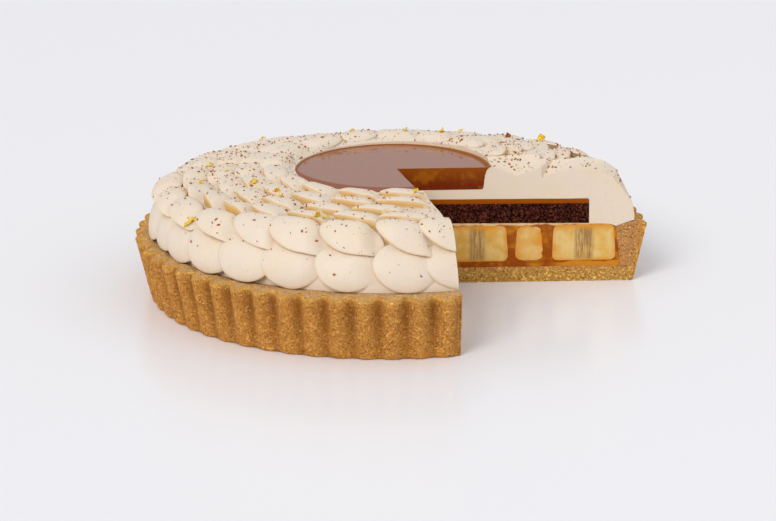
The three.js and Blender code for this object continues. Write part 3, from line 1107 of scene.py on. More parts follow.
@dataclass(frozen=True)
class Flutes:
    """The flutes that the tin presses into the crust's side."""

    count: int = 60
    depth_foot: float = 1.3
    depth_rim: float = 4.6
    sharpness: float = 1.2
    slump: float = 0.6
    first: float = -81.1
    drift: float = 1.7

    def sizes(self) -> dict[str, Any]:
        """Lists the sizes by the names of the tree's inputs."""
        return {"Count": self.count, "Depth At Foot": self.depth_foot, "Depth At Rim": self.depth_rim,
                "Sharpness": self.sharpness, "Slump": self.slump, "First Groove": self.first,
                "Drift": self.drift}

    def tree(self) -> Bench:
        """Builds the tree that presses the flutes and raises the crumb's relief."""
        sizes = {**self.sizes(), "Crust Height": 29.3, "Lump": 0.22, "Pit": 0.26}
        bench = Bench.geometry("pressed_flutes", sizes)
        given = bench.given
        x, y, z, radius = bench.split(bench.place())
        turn = bench.maths("ARCTAN2", y, x)
        wave = bench.maths("COSINE", bench.times(turn, given("Count")))
        groove = bench.maths("POWER", bench.maths("MULTIPLY_ADD", wave, 0.5, 0.5), given("Sharpness"))
        share = bench.named("flute")
        up = bench.maths("DIVIDE", bench.maths("DIVIDE", z, MM), given("Crust Height"))
        span = bench.maths("SUBTRACT", given("Depth At Rim"), given("Depth At Foot"))
        depth = bench.times(bench.maths("MULTIPLY_ADD", up, span, given("Depth At Foot")), MM)
        pressed = bench.times(depth, groove, share)
        first = bench.maths("RADIANS", given("First Groove"))
        bow = bench.maths("COSINE", bench.maths("ADD", turn, first))
        drift = bench.maths("POWER", bench.maths("MULTIPLY_ADD", bow, 0.5, 0.5), 4.0)
        azimuth = bench.maths("ADD", bench.maths("ADD", turn, first),
                              bench.times(drift, bench.maths("RADIANS", given("Drift"))))
        new_radius = bench.maths("SUBTRACT", radius, pressed)
        crest = bench.times(bench.maths("SUBTRACT", 1.0, groove), bench.named("slump"))
        sunk = bench.times(crest, given("Slump"), MM)
        fluted = bench.node("ShaderNodeCombineXYZ", {
            0: bench.times(new_radius, bench.maths("COSINE", azimuth)),
            1: bench.times(new_radius, bench.maths("SINE", azimuth)),
            2: bench.maths("SUBTRACT", z, sunk),
        }).outputs[0]
        # The groove mark is kept for the material, which paints shade into the grooves with it.
        stored = bench.node("GeometryNodeStoreNamedAttribute", {
            "Geometry": given("Geometry"), "Name": "groove", "Value": bench.times(groove, share),
        }, data_type="FLOAT", domain="POINT")
        moved = bench.node("GeometryNodeSetPosition", {"Geometry": stored.outputs[0], "Position": fluted})
        return bench.finished(self.roughened(bench, moved.outputs[0]))

    @staticmethod
    def roughened(bench: Bench, geometry: Any) -> NodeSocket:
        """Raises lumps and sinks pits in the parts marked as showing.

        Args:
            bench: The tree.
            geometry: The smooth crust.

        Returns:
            The rough crust.
        """
        place = bench.place()
        normal = bench.node("GeometryNodeInputNormal").outputs[0]
        broad = bench.maths("SUBTRACT", bench.noise(place, 3.5, 3, 0.6), 0.5)
        lumps = bench.times(broad, bench.given("Lump"))
        cell = bench.cells(place, 2.2)
        chance = bench.node("FunctionNodeSeparateColor", {0: cell.outputs["Color"]}).outputs[0]
        few = bench.maths("LESS_THAN", chance, 0.45)
        pits = bench.times(bench.ranged(cell.outputs["Distance"], 0.36, 0.12), few)
        sunk = bench.maths("SUBTRACT", bench.times(lumps, 2.0),
                           bench.times(pits, bench.given("Pit")))
        shown = bench.times(sunk, MM, bench.named("shows"))
        offset = bench.vectors("SCALE", normal, shown)
        return bench.node("GeometryNodeSetPosition", {"Geometry": geometry, "Offset": offset}).outputs[0]


@dataclass(frozen=True)
class Crust:
    """The fluted tart case, with the wedge out."""

    rim_radius: float = 120
    foot_radius: float = 113.8
    height: float = 29.3
    base_top: float = 7.3
    wall_top: float = 105.4
    wall_foot: float = 107.3
    ledge_height: float = 26.6
    ledge_outer: float = 113.2
    front_swell: float = 2.5
    lump: float = 0.22
    pit: float = 0.26
    grain: float = 0.62
    columns_per_flute: int = 20
    flutes: Flutes = Flutes()

    def swell(self, points: np.ndarray, turned: float = 0) -> None:
        """Raises the ledge at the front, where the crust baked up level with its rim.

        Args:
            points: Points in millimetres, which are moved.
            turned: How far the points are still to be turned round the axis, in degrees.
        """
        radius = np.hypot(points[:, 0], points[:, 1])
        azimuth = np.arctan2(points[:, 1], points[:, 0]) + math.radians(turned)
        front = np.clip(-np.sin(azimuth), 0, 1) ** 2
        on_ledge = np.clip((self.ledge_outer - radius) / (self.ledge_outer - self.wall_top), 0, 1)
        near = np.clip((radius - self.wall_top + 4) / 3, 0, 1) * (points[:, 2] > self.ledge_height - 1)
        points[:, 2] += self.front_swell * front * on_ledge * near

    def solid(self) -> Object:
        """Turns the case's section round its axis, with marks for flutes and finishes."""
        corner = [(self.foot_radius - 1.4 * (1 - math.sin(a)), 1.6 * (1 - math.cos(a)))
                  for a in (0, 0.5, 1.0, math.pi / 2)]
        rim = [(self.rim_radius - 1.2 * (1 - math.cos(a)), self.height - 1.3 + 1.3 * math.sin(a))
               for a in (0, 0.4, 0.8, 1.2, math.pi / 2)]
        under = [(0.0, 0.0), *stepped([(30, 0), corner[0]], 30)]
        outside = stepped([*corner[1:], rim[0]], self.grain)
        top = [*rim[1:], *stepped([rim[-1], (self.ledge_outer, self.height - 0.1)], self.grain)[1:]]
        ledge = stepped([top[-1], (self.wall_top, self.ledge_height)], self.grain)[1:]
        inside = stepped([ledge[-1], (self.wall_foot, 9), (self.wall_foot - 0.7, self.base_top),
                          (40, self.base_top)], 22)[1:]
        profile = [*under, *outside, *top, *ledge, *inside, (0.0, self.base_top)]
        sides = self.flutes.count * self.columns_per_flute
        shape = revolved(profile, sides)
        radii, outer = np.array(top + ledge)[:, 0], np.array(outside)[:, 1]
        on_top = np.clip((self.rim_radius - 1.0 - radii) / 1.4, 0, 1)
        fade = np.clip((radii - 108) / 9, 0, 1)
        below, side, inner = np.zeros(len(under) - 1), np.ones(len(outside)), np.zeros(len(inside))
        columns = {
            "flute": [below + 1, side, fade, inner],
            "slump": [below, np.clip((outer - 25) / 3, 0, 1), fade, inner],
            "shows": [below, side, np.ones(len(fade)), inner],
            "top": [below, side - 1, on_top, inner + 1],
            # The edge mark places the painted highlight along the rim.
            "edge": [below, np.clip((outer - 25) / 4, 0, 1) ** 1.5, 1 - on_top, inner],
        }
        for mark, parts in columns.items():
            shape.marks[mark] = np.append(np.repeat(np.concatenate(parts), sides), [0, 0])
        self.swell(shape.points, self.flutes.first)
        return shape.placed("fluted_crust")

    def build(self, finish: CrustFinish) -> Object:
        """Makes the finished crust.

        Args:
            finish: Its finish.

        Returns:
            The crust, in place of its CAD node.
        """
        crust = grown(self.solid(), self.flutes.tree(), {
            **self.flutes.sizes(), "Crust Height": self.height, "Lump": self.lump, "Pit": self.pit,
            "Material": finish.material(),
        })
        WEDGE.take_out(crust, Cut(0, 0.55, crumbly_slice(0.16, 2.4, 0.4, 1.7)), low=-1, high=31)
        return creased(crust)


# ---- Inside layers ----


@dataclass(frozen=True)
class Layer:
    """A round layer with a slightly domed top and bottom."""

    radius: float
    bottom: float
    top: float
    sag: float = 0.7

    def solid(self, name: str, grow: float = 0) -> Object:
        """Makes the whole disc.

        Args:
            name: The object's name.
            grow: How much larger it is all round.

        Returns:
            The disc.
        """
        radius, low, high = self.radius + grow, self.bottom - grow, self.top + grow
        edge = [(radius, low - self.sag), (radius, high - self.sag - 0.6), (radius - 0.6, high - self.sag)]
        return revolved([(0, low), *edge, (0, high)]).placed(name)

    def build(self, name: str, cut: Cut, material: Material) -> Object:
        """Makes the layer with the wedge out.

        Args:
            name: The object's name.
            cut: How its cut faces are left.
            material: Its material.

        Returns:
            The layer.
        """
        layer = self.solid(name)
        WEDGE.take_out(layer, cut, self.bottom - 2, self.top + 1)
        return creased(layer, material)


@dataclass(frozen=True)
class BananaSlice:
    """A slice of banana that stands on its cut end.

    Attributes:
        face: The cut face it shows at.
        along: How far out along that face its middle is.
        behind: How far behind the face its middle is.
        radius: Its radius.
    """

    face: CutFace
    along: float
    behind: float
    radius: float
    bottom: float = 10.2
    top: float = 27.4

    def solid(self, name: str, grow: float = 0) -> Object:
        """Makes the whole slice.

        Args:
            name: The object's name.
            grow: How much larger it is all round.

        Returns:
            The slice.
        """
        soft = 2.4
        low, high = self.bottom - grow, self.top + grow
        wide = self.radius + grow
        corner = [(wide - soft * (1 - math.sin(a)), soft * (1 - math.cos(a)))
                  for a in (0, 0.4, 0.8, 1.2, 1.57)]
        profile = [(0.0, low), (wide * 0.6, low), *[(r, low + h) for r, h in corner],
                   *[(r - 0.6, high - h) for r, h in reversed(corner)], (wide * 0.6, high), (0.0, high)]
        shape = revolved(stepped(profile, 1.2), 72)
        turn = np.arctan2(shape.points[:, 1], shape.points[:, 0])
        out = np.hypot(shape.points[:, 0], shape.points[:, 1])
        height = (shape.points[:, 2] - self.bottom) / (self.top - self.bottom)
        bulge = 0.012 * np.sin(3 * turn + self.along) + 0.008 * np.sin(4 * height + self.along) - 0.006
        oval = 1 + bulge * (out / wide) ** 2
        shape.points[:, :2] *= oval[:, None]
        shape.points[:, :2] += self.centre()
        return shape.placed(name)

    def centre(self) -> np.ndarray:
        """Gives the place of its middle in plan."""
        along, inwards = WEDGE.plane(self.face)
        return np.array(WEDGE.apex) + self.along * along + self.behind * inwards

    def mark_flesh(self, piece: Object) -> None:
        """Marks each point of the cut slice with its place in it and how near its skin it lies.

        Args:
            piece: The slice after the cut.
        """
        place = places_from([*self.centre(), (self.bottom + self.top) / 2], piece)
        out = np.hypot(place[:, 0], place[:, 1])
        near_side = np.clip((out - self.radius + 2.6) / 2.4, 0, 1)
        near_top = np.clip((place[:, 2] - (self.top - self.bottom) / 2 + 3.2) / 3, 0, 1)
        near_foot = np.clip(((self.bottom - self.top) / 2 + 1.6 - place[:, 2]) / 1.6, 0, 1)
        marked(piece.data, "slice_place", place * MM)
        marked(piece.data, "rim", np.maximum(np.maximum(near_side, near_top), near_foot))


BANANA_SLICES = [BananaSlice(*place) for place in (
    (CutFace.RIGHT, 8.4, 7, 14.6), (CutFace.RIGHT, 37.4, -2.4, 14.6), (CutFace.RIGHT, 61.6, 10.5, 12.2),
    (CutFace.RIGHT, 87.6, 1.2, 15), (CutFace.FRONT, 24, 2, 14.2), (CutFace.FRONT, 54.5, 6, 14.6),
    (CutFace.FRONT, 86, -1.5, 14.4),
)]


@dataclass(frozen=True)
class Filling:
    """Soft caramel that fills the case, with the banana slices set in it."""

    crust: Crust
    top: float = 29.3
    top_at_sponge: float = 28.2
    sponge_radius: float = 92.5
    overlap: float = 0.15

    def caramel(self, material: Material) -> Object:
        """Makes the caramel with a pocket for each slice.

        Args:
            material: Its material.

        Returns:
            The caramel, with the wedge out.
        """
        crust = self.crust
        filling = revolved([
            (0, crust.base_top - 0.1), (crust.wall_foot - 0.8, crust.base_top - 0.1), (crust.wall_foot, 9.2),
            (crust.wall_top + 0.9, 19.7), (crust.wall_top + 0.1, crust.ledge_height - 0.1),
            (crust.wall_top - 3, self.top_at_sponge - 0.3), (self.sponge_radius, self.top_at_sponge),
            (0, self.top),
        ]).placed("soft_caramel")
        pockets = [part.solid(f"pocket_{i}", -self.overlap) for i, part in enumerate(BANANA_SLICES)]
        WEDGE.take_out(filling, Cut(0.3, 0.8, clean_slice(0.35, 4)), low=6, high=31, pockets=pockets)
        return creased(filling, material)

    def slices(self, material: Material) -> list[Object]:
        """Makes the banana slices.

        Args:
            material: Their material.

        Returns:
            One object for each slice, with the wedge out.
        """
        knife = WEDGE.knife("banana_knife", Cut(0.08, 0.8, clean_slice(0.3, 5)), low=9, high=28)
        made = []
        for number, part in enumerate(BANANA_SLICES, 1):
            piece = part.solid(f"sliced_banana_{number}")
            carved(piece, [knife])
            part.mark_flesh(piece)
            made.append(creased(piece, material))
        dropped(knife)
        return made


# ---- Cream ----


@dataclass(frozen=True)
class PetalRing:
    """One ring of piped petals, each laid over its left neighbour.

    A petal's spine is an arc that starts at its tip and runs inwards, turning from the tip's
    slope to the root's over its length.

    Attributes:
        tip: Radius and height of the spine's start.
        tip_angle: How steeply the spine climbs there.
        root_angle: How steeply it climbs at its end.
        length: How long it is.
        nose: How far from the tip the petal is widest.
        half_width: Half its width.
        wall: How thick it stands at its edge.
        undercut: How far the foot of that edge lies back.
        crown: How much its middle bulges.
        tilt: How far its left side is raised and its right side lowered.
        roll: How far its right end rolls down besides, where the next petal starts.
        droop: How far its root rounds off.
        slope: How much further out its right side hangs.
        skew: How far its root leans to one side.
        pitch: The angle from one petal to the next.
        last: The azimuth of the last petal, at the right cut.
        seen: Azimuths of the petals at the front.
    """

    tip: tuple[float, float]
    tip_angle: float
    root_angle: float
    length: float
    nose: float
    half_width: float
    wall: float
    undercut: float
    crown: float
    tilt: float
    roll: float
    droop: float
    slope: float
    skew: float
    pitch: float
    last: float
    seen: tuple[float, ...]

    def spine(self, along: np.ndarray) -> Arrays:
        """Follows the spine inwards.

        Args:
            along: Distances from the tip.

        Returns:
            Radius, height and slope angle at each.
        """
        start = math.radians(self.tip_angle)
        bend = (math.radians(self.root_angle) - start) / self.length
        angle = start + bend * along
        radius = self.tip[0] - (np.sin(angle) - math.sin(start)) / bend
        height = self.tip[1] + (math.cos(start) - np.cos(angle)) / bend
        return radius, height, angle

    def crown_place(self) -> tuple[float, float]:
        """Gives the radius and height of the spine under a petal's middle."""
        radius, height, _ = self.spine(np.array([self.nose]))
        return float(radius[0]), float(height[0])

    def lifted(self, share: np.ndarray, rays: np.ndarray) -> np.ndarray:
        """Gives the height of a petal's top over its spine.

        Args:
            share: How far out towards the outline, 0 to 1.
            rays: In which direction from the middle, 0 towards the tip.

        Returns:
            The height at each.
        """
        side = np.sin(rays) * share
        root = np.clip(-np.cos(rays) * share, 0, 1)
        open_until = math.radians(self.pitch) * self.crown_place()[0] / self.half_width - 1
        rolled = np.clip((side - open_until + 0.34) / 0.3, 0, 1.5) ** 1.5
        left_end = np.clip((-side - 0.4) / 0.6, 0, 1) ** 2
        leaning = self.tilt * (side + 1.3 * left_end) + self.roll * rolled
        return self.crown * (1 - share**2.6) - leaning * (1 - 0.6 * root) - self.droop * root**3

    def levels(self, outline: np.ndarray, rays: np.ndarray) -> list[Arrays]:
        """Lists a petal's rings of points from its middle to its underside.

        Args:
            outline: The outline's distance from the middle, in each direction.
            rays: Those directions.

        Returns:
            For each ring its share of the outline, its depth under the top, and its mark for the shade
            painted on the lip.
        """
        none, full = np.zeros(PETAL_RAYS), np.ones(PETAL_RAYS)
        tipward = np.clip(0.7 + 1.2 * np.cos(rays), 0, 1)
        wall = self.wall * (1 - 0.5 * np.clip(-np.sin(rays), 0, 1) ** 4)
        levels = [(share * full, none, none) for share in (0.2, 0.38, 0.54, 0.68, 0.8, 0.9)]
        for bend in np.radians((18, 50, 90)):
            share = 1 - EDGE_ROUND * (1 - math.sin(bend)) / outline
            levels.append((share, EDGE_ROUND * (1 - math.cos(bend)) * full, tipward * bend / 3))
        levels.append((1 - 0.3 * self.undercut / outline, EDGE_ROUND + 0.5 * wall, tipward))
        levels.append((1 - self.undercut / outline, EDGE_ROUND + wall, tipward))
        levels.append(((0.7 + 0.055 * self.wall) * full, (self.wall + 3.4) * full, tipward))
        return levels

    def petal(self, variant: int) -> Shape:
        """Shapes one petal, with its crown over the origin and its tip towards +X.

        Args:
            variant: Which of the uneven petals it is.

        Returns:
            The closed petal.
        """
        rays = np.arange(PETAL_RAYS) * (math.tau / PETAL_RAYS)
        reach = np.where(np.cos(rays) > 0, self.nose, self.length - self.nose)
        outline = np.hypot(reach * np.cos(rays), self.half_width * np.sin(rays))
        level = 7.3 * variant + self.pitch
        wave = np.array([ripple(math.cos(a) * 1.2, math.sin(a) * 1.2, level, 1) for a in rays])
        levels = self.levels(outline, rays)
        none = np.zeros(1)
        around = [(share, depth, lip, rays, reach, 0.05 * wave) for share, depth, lip in levels]
        middle = (none,) * 6
        under = (none, none + self.wall + 4, none + 1, none, none, none)
        places, lip_shades, strokes = [], [], []
        for share, depth, lip, ray, far, wavy in (middle, *around, under):
            inwards = -far * np.cos(ray) * share * (1 + wavy)
            across = self.half_width * np.sin(ray) * share * (1 + wavy)
            along = self.nose + inwards - self.slope * across
            side = across - self.skew * inwards
            radius, height, angle = self.spine(along)
            dent = 0.22 * np.array([ripple(u, v, 11.7 * variant, 7) for u, v in zip(inwards, across)])
            lift = self.lifted(share, ray) + dent - depth
            places.append(np.stack([radius + lift * np.sin(angle), side, height + lift * np.cos(angle)], -1))
            lip_shades.append(lip)
            fan = side / (along + 14) * 14
            strokes.append(np.stack([fan, along * 0.1, np.full(len(share), 5.0 * variant)], -1))
        radius, height = self.crown_place()
        points = np.vstack(places) - [radius, 0, height]
        marks = {"lip": np.concatenate(lip_shades), "stroke": np.vstack(strokes) * MM}
        return Shape(points, pole_faces(len(levels), PETAL_RAYS), marks)


PETAL_RAYS = 52
EDGE_ROUND = 0.4
PETAL_RINGS = [
    PetalRing((112.8, 29), 86, 34, 24, 12.5, 14.8, 1.2, 1.0, 1.2, 0.6, 1.0, 0.5, 0.04, 0.05, 12.9, -361,
              (-74.5, -87.5, -100.8, -114.7, -127.1, -138.8, -150.5, -160.6, -171.5)),
    PetalRing((109, 45.8), 50, 6, 17.5, 8.8, 15.4, 1.3, 1.4, 1.0, 1.1, 1.9, 0.5, 0.14, 0.2, 13.6, -355,
              (-74.2, -85.3, -99.9, -113.7, -125.7, -139.7, -153.9, -166.6, -179.4)),
    PetalRing((95.4, 54.6), 4, -12, 15.5, 7.5, 14.8, 4.2, 1.0, 1.0, 1.1, 1.7, 0.6, 0.15, 0.2, 14, -362,
              (-84.1, -97.2, -112.8, -126.8, -139.2, -152.2, -166)),
    PetalRing((84.4, 56.4), 4, -12, 15.5, 7.5, 15.8, 4.0, 1.0, 1.0, 1.1, 1.7, 0.6, 0.15, 0.2, 18, -354,
              (-92.1,)),
    PetalRing((72.4, 58), 4, -10, 15.5, 7, 14, 4.0, 1.0, 1.0, 1.1, 1.6, 0.6, 0.15, 0.2, 18.9, -364,
              (-102.4,)),
    PetalRing((60.4, 60), 2, -8, 13.6, 6.5, 12.6, 4.0, 1.0, 0.8, 1.2, 1.6, 1.6, 0.15, 0.1, 21.2, -353,
              (-103.3,)),
]
# Reach and height of the edge that the knife left on the cream at the right cut.
CUT_EDGE = [
    (44, 56.4), (46, 56.2), (48.2, 55.9), (50.5, 55.2), (54.2, 53.4), (58.4, 51.2), (60.3, 52.1),
    (66.4, 54.4), (69.7, 55.4), (70.1, 50), (75.7, 52.3), (80.4, 54.2), (86, 55.6), (93, 55.0), (97.7, 53.5),
    (101.5, 51.2), (104, 50.2), (104.6, 48.6), (107.1, 46), (109.5, 42.6), (111.9, 39.1), (113.3, 35.7),
    (114, 31),
]


@dataclass(frozen=True)
class Pool:
    """The round pool of caramel in the cream."""

    radius: float = 45.8
    foot_radius: float = 42.2
    top: float = 56.4
    bottom: float = 45.4
    centre: tuple[float, float] = (1.05, 0.67)

    def body(self, name: str, grow: float, lid: Profile) -> Object:
        """Makes the pool's tapered body.

        Args:
            name: The object's name.
            grow: How much larger its side and bottom are.
            lid: The profile that closes it on top.

        Returns:
            The body.
        """
        foot, low = self.foot_radius + grow, self.bottom - grow
        soft = [(foot - 1.2 + 1.2 * math.sin(a), low + 1.2 * (1 - math.cos(a))) for a in (0, 0.4, 0.8, 1.2)]
        edge = self.radius + grow
        side = [(foot + 0.2, low + 2.5), (foot + 0.6, self.top - 4), (edge - 1.9, self.top - 1.6),
                (edge - 0.9, self.top - 0.6), (edge, self.top)]
        return revolved([(0, low), *soft, *side, *lid], 200, self.centre).placed(name)

    def mark_brim(self, pool: Object) -> None:
        """Marks how far across the painted brim band each point lies; it is wider in front and on the right.

        Args:
            pool: The pool before the cut.
        """
        place = places_from([*self.centre, 0], pool)
        out = np.hypot(place[:, 0], place[:, 1])
        front = np.clip(-place[:, 1] / self.radius, 0, 1)
        right = np.clip((place[:, 0] * 0.8 + place[:, 1] * 0.6) / self.radius, 0, 1)
        wide = 1.4 + 24 * front**1.2 + 4 * right**3
        marked(pool.data, "brim", np.clip((out - self.radius + wide) / wide, 0, 1))

    def build(self, material: Material) -> Object:
        """Makes the caramel in the pool.

        Args:
            material: Its material.

        Returns:
            The caramel, with the wedge out.
        """
        surface = self.top - 0.35
        clinging = [(self.radius - s, surface + 0.35 * (1 - s / 2.4) ** 2.5)
                    for s in (0.3, 0.8, 1.4, 1.9, 2.4)]
        still = stepped([(self.radius - 3, surface), (self.radius - 5, surface)], 0.5)
        still += stepped([(self.radius - 6.5, surface), (self.radius - 26, surface)], 1.5)
        still += stepped([(self.radius - 29, surface), (6, surface)], 6)
        pool = self.body("glossy_caramel", 0.15, [*clinging, *still, (0, surface)])
        self.mark_brim(pool)
        WEDGE.take_out(pool, Cut(0.05, 1.2, clean_slice(0.15, 9)), low=44, high=58)
        return creased(pool, material, angle=40)


@dataclass(frozen=True)
class Cream:
    """The mound of cream with its rings of petals."""

    crust: Crust
    sheet: Layer
    pool: Pool
    front_pull: float = 4
    front_rise: float = 4.8
    back_fall: float = 4.8
    unevenness: float = 0.35
    wander: float = 0.9
    lean: float = 3.0
    left_overhang: float = 9.0
    foot_in: float = 3.4
    foot_out: float = 1.2
    variants: int = 3

    def mound(self) -> Object:
        """Makes the smooth mound under the petals, its foot drawn in on the left."""
        profile = [(0, 20), (111.8, 20), (111.8, 31), (110.6, 35.5), (107, 42), (101.5, 47), (95, 50.8),
                   (84, 53), (72, 54.4), (60, 56.4), (53, 58.2), (49, 58.6), (47, 58), (46, 57), (0, 57)]
        shape = revolved(stepped(profile, 4), 180)
        radius = np.hypot(shape.points[:, 0], shape.points[:, 1]).clip(1)
        left = np.clip((-shape.points[:, 0] / radius - 0.1) / 0.4, 0, 1)
        right = np.clip((shape.points[:, 0] / radius - 0.8) / 0.15, 0, 1)
        drawn = (self.foot_out * right - self.foot_in * left) * np.clip((radius - 100) / 11, 0, 1)
        shape.points[:, :2] *= (1 + drawn / radius)[:, None]
        shape.marks = {"lip": np.zeros(len(shape.points)), "stroke": shape.points * MM}
        return shape.placed("mound")

    def flank(self, depths: Sequence[float], outer_skew: float, over: float) -> np.ndarray:
        """Follows the flank of cream behind the right cut, from the edge that the knife left.

        Args:
            depths: How far behind the cut each row of points lies.
            outer_skew: How far the flank's outer end shifts outwards for each millimetre of depth.
            over: How much higher than the flank itself the points lie.

        Returns:
            The rows of points.
        """
        reach, height = np.array(CUT_EDGE).T
        columns = np.unique(np.concatenate([reach, np.arange(44, 113, 1.2)]))
        edge = np.interp(columns, reach, height)
        crest = np.interp(columns, (44, 60, 86, 95, 104, 114), (57.5, 58.5, 58.4, 56.4, 51.5, 37))
        skew = np.interp(columns, (44, 60, 95, 114), (0, 0.7, 0.5, outer_skew))
        rows = []
        for depth in depths:
            inside = max(depth, 0)
            share = min(inside / 12, 1) ** 0.9
            top = edge + (crest - edge) * share + 0.9 * max(inside - 9, 0) * (columns < 101) + over
            wave = [0.5 * min(inside / 4, 1) * ripple(s, depth, 3.7, 6) for s in columns]
            x = columns + skew * inside
            rows.append(np.stack([x, WEDGE.apex[1] + 0.0143 * (x - WEDGE.apex[0]) + depth, top + wave], -1))
        return np.array(rows)

    def bank(self) -> Object:
        """Makes the body of cream behind the right cut, before it is trimmed."""
        rows = self.flank((-3, 0.6, 2, 3.5, 5, 7, 9), -0.12, 0.8)
        body = between(rows, levelled(rows, 29))
        body.points[:, 2] = np.minimum(body.points[:, 2], 58.5)
        body.marks = {"lip": np.zeros(len(body.points)), "stroke": body.points * MM}
        return body.placed("bank")

    def trim(self) -> Object:
        """Makes the solid over the flank, which takes away what stands above it."""
        rows = self.flank((-6, -3, 0.6, 2, 3.5, 5, 7, 9, 11, 13), 0.45, 0)
        return between(levelled(rows, 80), rows).placed("trim")

    def bed(self) -> Object:
        """Makes all that lies under the cream, which it rests on."""
        crust, close = self.crust, 0.12
        ledge = crust.height + close
        profile = [(0, -1), (130, -1), (130, ledge), (crust.ledge_outer, ledge - 0.1),
                   (crust.wall_top, crust.ledge_height + close), (crust.wall_top - 3, 27.85),
                   (93.5, 28.1), (0, 29.2)]
        bed = revolved(profile)
        crust.swell(bed.points)
        return bed.placed("bed")

    def azimuths(self, ring: PetalRing) -> list[float]:
        """Places a ring's petals: those at the front as they lie, the rest evenly.

        Args:
            ring: The ring.

        Returns:
            Its petals' azimuths.
        """
        placed = list(ring.seen)
        after = ring.seen[0] + ring.pitch
        while after < WEDGE.start + 2:
            placed.append(after)
            after += ring.pitch
        count = round((ring.seen[-1] - ring.last) / ring.pitch)
        return placed + list(np.linspace(ring.seen[-1], ring.last, count + 1)[1:])

    @staticmethod
    def uneven(ring: int, petal: int, kind: int) -> float:
        """Gives a number from -1 to 1, the same each time for the same petal."""
        mixed = math.sin(ring * 12.9898 + petal * 78.233 + kind * 37.719) * 43758.5453
        return 2 * (mixed - math.floor(mixed)) - 1

    def piping_points(self) -> Object:
        """Marks where each petal goes, how it turns and leans, its size and which shape it has."""
        places, turns, sizes, picks = [], [], [], []
        for number, ring in enumerate(PETAL_RINGS):
            radius, height = ring.crown_place()
            for petal, azimuth in enumerate(self.azimuths(ring)):
                turn = math.radians(azimuth + self.wander * 0.5 * self.uneven(number, petal, 1))
                overhang = self.left_overhang if number in (1, 2) and -190 < azimuth < -132 else 0
                out = radius + self.wander * self.uneven(number, petal, 2) + 0.15 * overhang
                roll = math.radians(self.lean * self.uneven(number, petal, 4))
                lift = math.radians(0.7 * self.lean * self.uneven(number, petal, 5) - overhang)
                places.append((out * math.cos(turn), out * math.sin(turn), height))
                turns.append((roll, lift, turn))
                sizes.append(1 + 0.05 * self.uneven(number, petal, 3))
                picks.append(number * self.variants + petal % self.variants)
        marks = {"turn": np.array(turns), "size": np.array(sizes), "pick": np.array(picks, float)}
        return Shape(np.array(places), [], marks).placed("whipped_cream")

    def tree(self) -> Bench:
        """Builds the tree that pipes the petals, joins them to the mound and cuts it all."""
        solids = ("Mound", "Bank", "Trim", "Bed", "Sheet", "Well", "Knife")
        bench = Bench.geometry("piped_petals", {
            "Petals": "NodeSocketCollection", **dict.fromkeys(solids, "NodeSocketObject"),
            "Rim Radius": 120.0, "Front Pull": 4.0, "Front Rise": 4.8, "Back Fall": 4.8, "Unevenness": 0.35})
        named = bench.named
        petals = bench.instanced(
            bench.given("Geometry"), "Petals", named("pick"), named("turn", "FLOAT_VECTOR"), named("size"))
        joined = bench.node("GeometryNodeMeshBoolean", operation="UNION", solver="MANIFOLD")
        for solid in (petals, bench.piece("Mound"), bench.piece("Bank")):
            bench.feed(joined.inputs["Mesh"], solid)
        cut = bench.node("GeometryNodeMeshBoolean", operation="DIFFERENCE", solver="MANIFOLD")
        bench.feed(cut.inputs[0], self.drawn_in(bench, joined.outputs["Mesh"]))
        for tool in solids[2:]:
            bench.feed(cut.inputs[1], bench.piece(tool))
        return bench.finished(cut.outputs["Mesh"])

    @staticmethod
    def drawn_in(bench: Bench, geometry: Any) -> NodeSocket:
        """Draws the front of the mound in and up and its back down, and makes it a little uneven.

        Args:
            bench: The tree.
            geometry: The joined cream.

        Returns:
            The moved cream.
        """
        given, maths, times = bench.given, bench.maths, bench.times
        place = bench.place()
        _, y, z, radius = bench.split(place)
        share = maths("DIVIDE", maths("MINIMUM", y, 0.0), times(given("Rim Radius"), MM))
        pulled = times(share, share, times(given("Front Pull"), MM))
        facing = maths("DIVIDE", y, maths("MAXIMUM", radius, MM))
        front = maths("POWER", maths("MAXIMUM", times(facing, -1.0), 0.0), 2.0)
        back = maths("POWER", maths("MAXIMUM", facing, 0.0), 2.0)
        rise = times(front, given("Front Rise"), bench.ranged(radius, 45 * MM, 100 * MM))
        fall = times(back, given("Back Fall"), bench.ranged(radius, 55 * MM, 90 * MM))
        raised = times(maths("SUBTRACT", rise, fall), bench.ranged(z, 46 * MM, 54 * MM, 0, MM))
        shift = bench.node("ShaderNodeCombineXYZ", {1: pulled, 2: raised}).outputs[0]
        feeds = {"Vector": place, "Scale": 1 / (12 * MM), "Detail": 1.0}
        cloud = bench.node("ShaderNodeTexNoise", feeds).outputs["Color"]
        centred = bench.vectors("SUBTRACT", cloud, (0.5, 0.5, 0.5))
        uneven = bench.vectors("SCALE", centred, times(given("Unevenness"), 2 * MM))
        offset = bench.vectors("ADD", shift, uneven)
        return bench.node("GeometryNodeSetPosition", {"Geometry": geometry, "Offset": offset}).outputs[0]

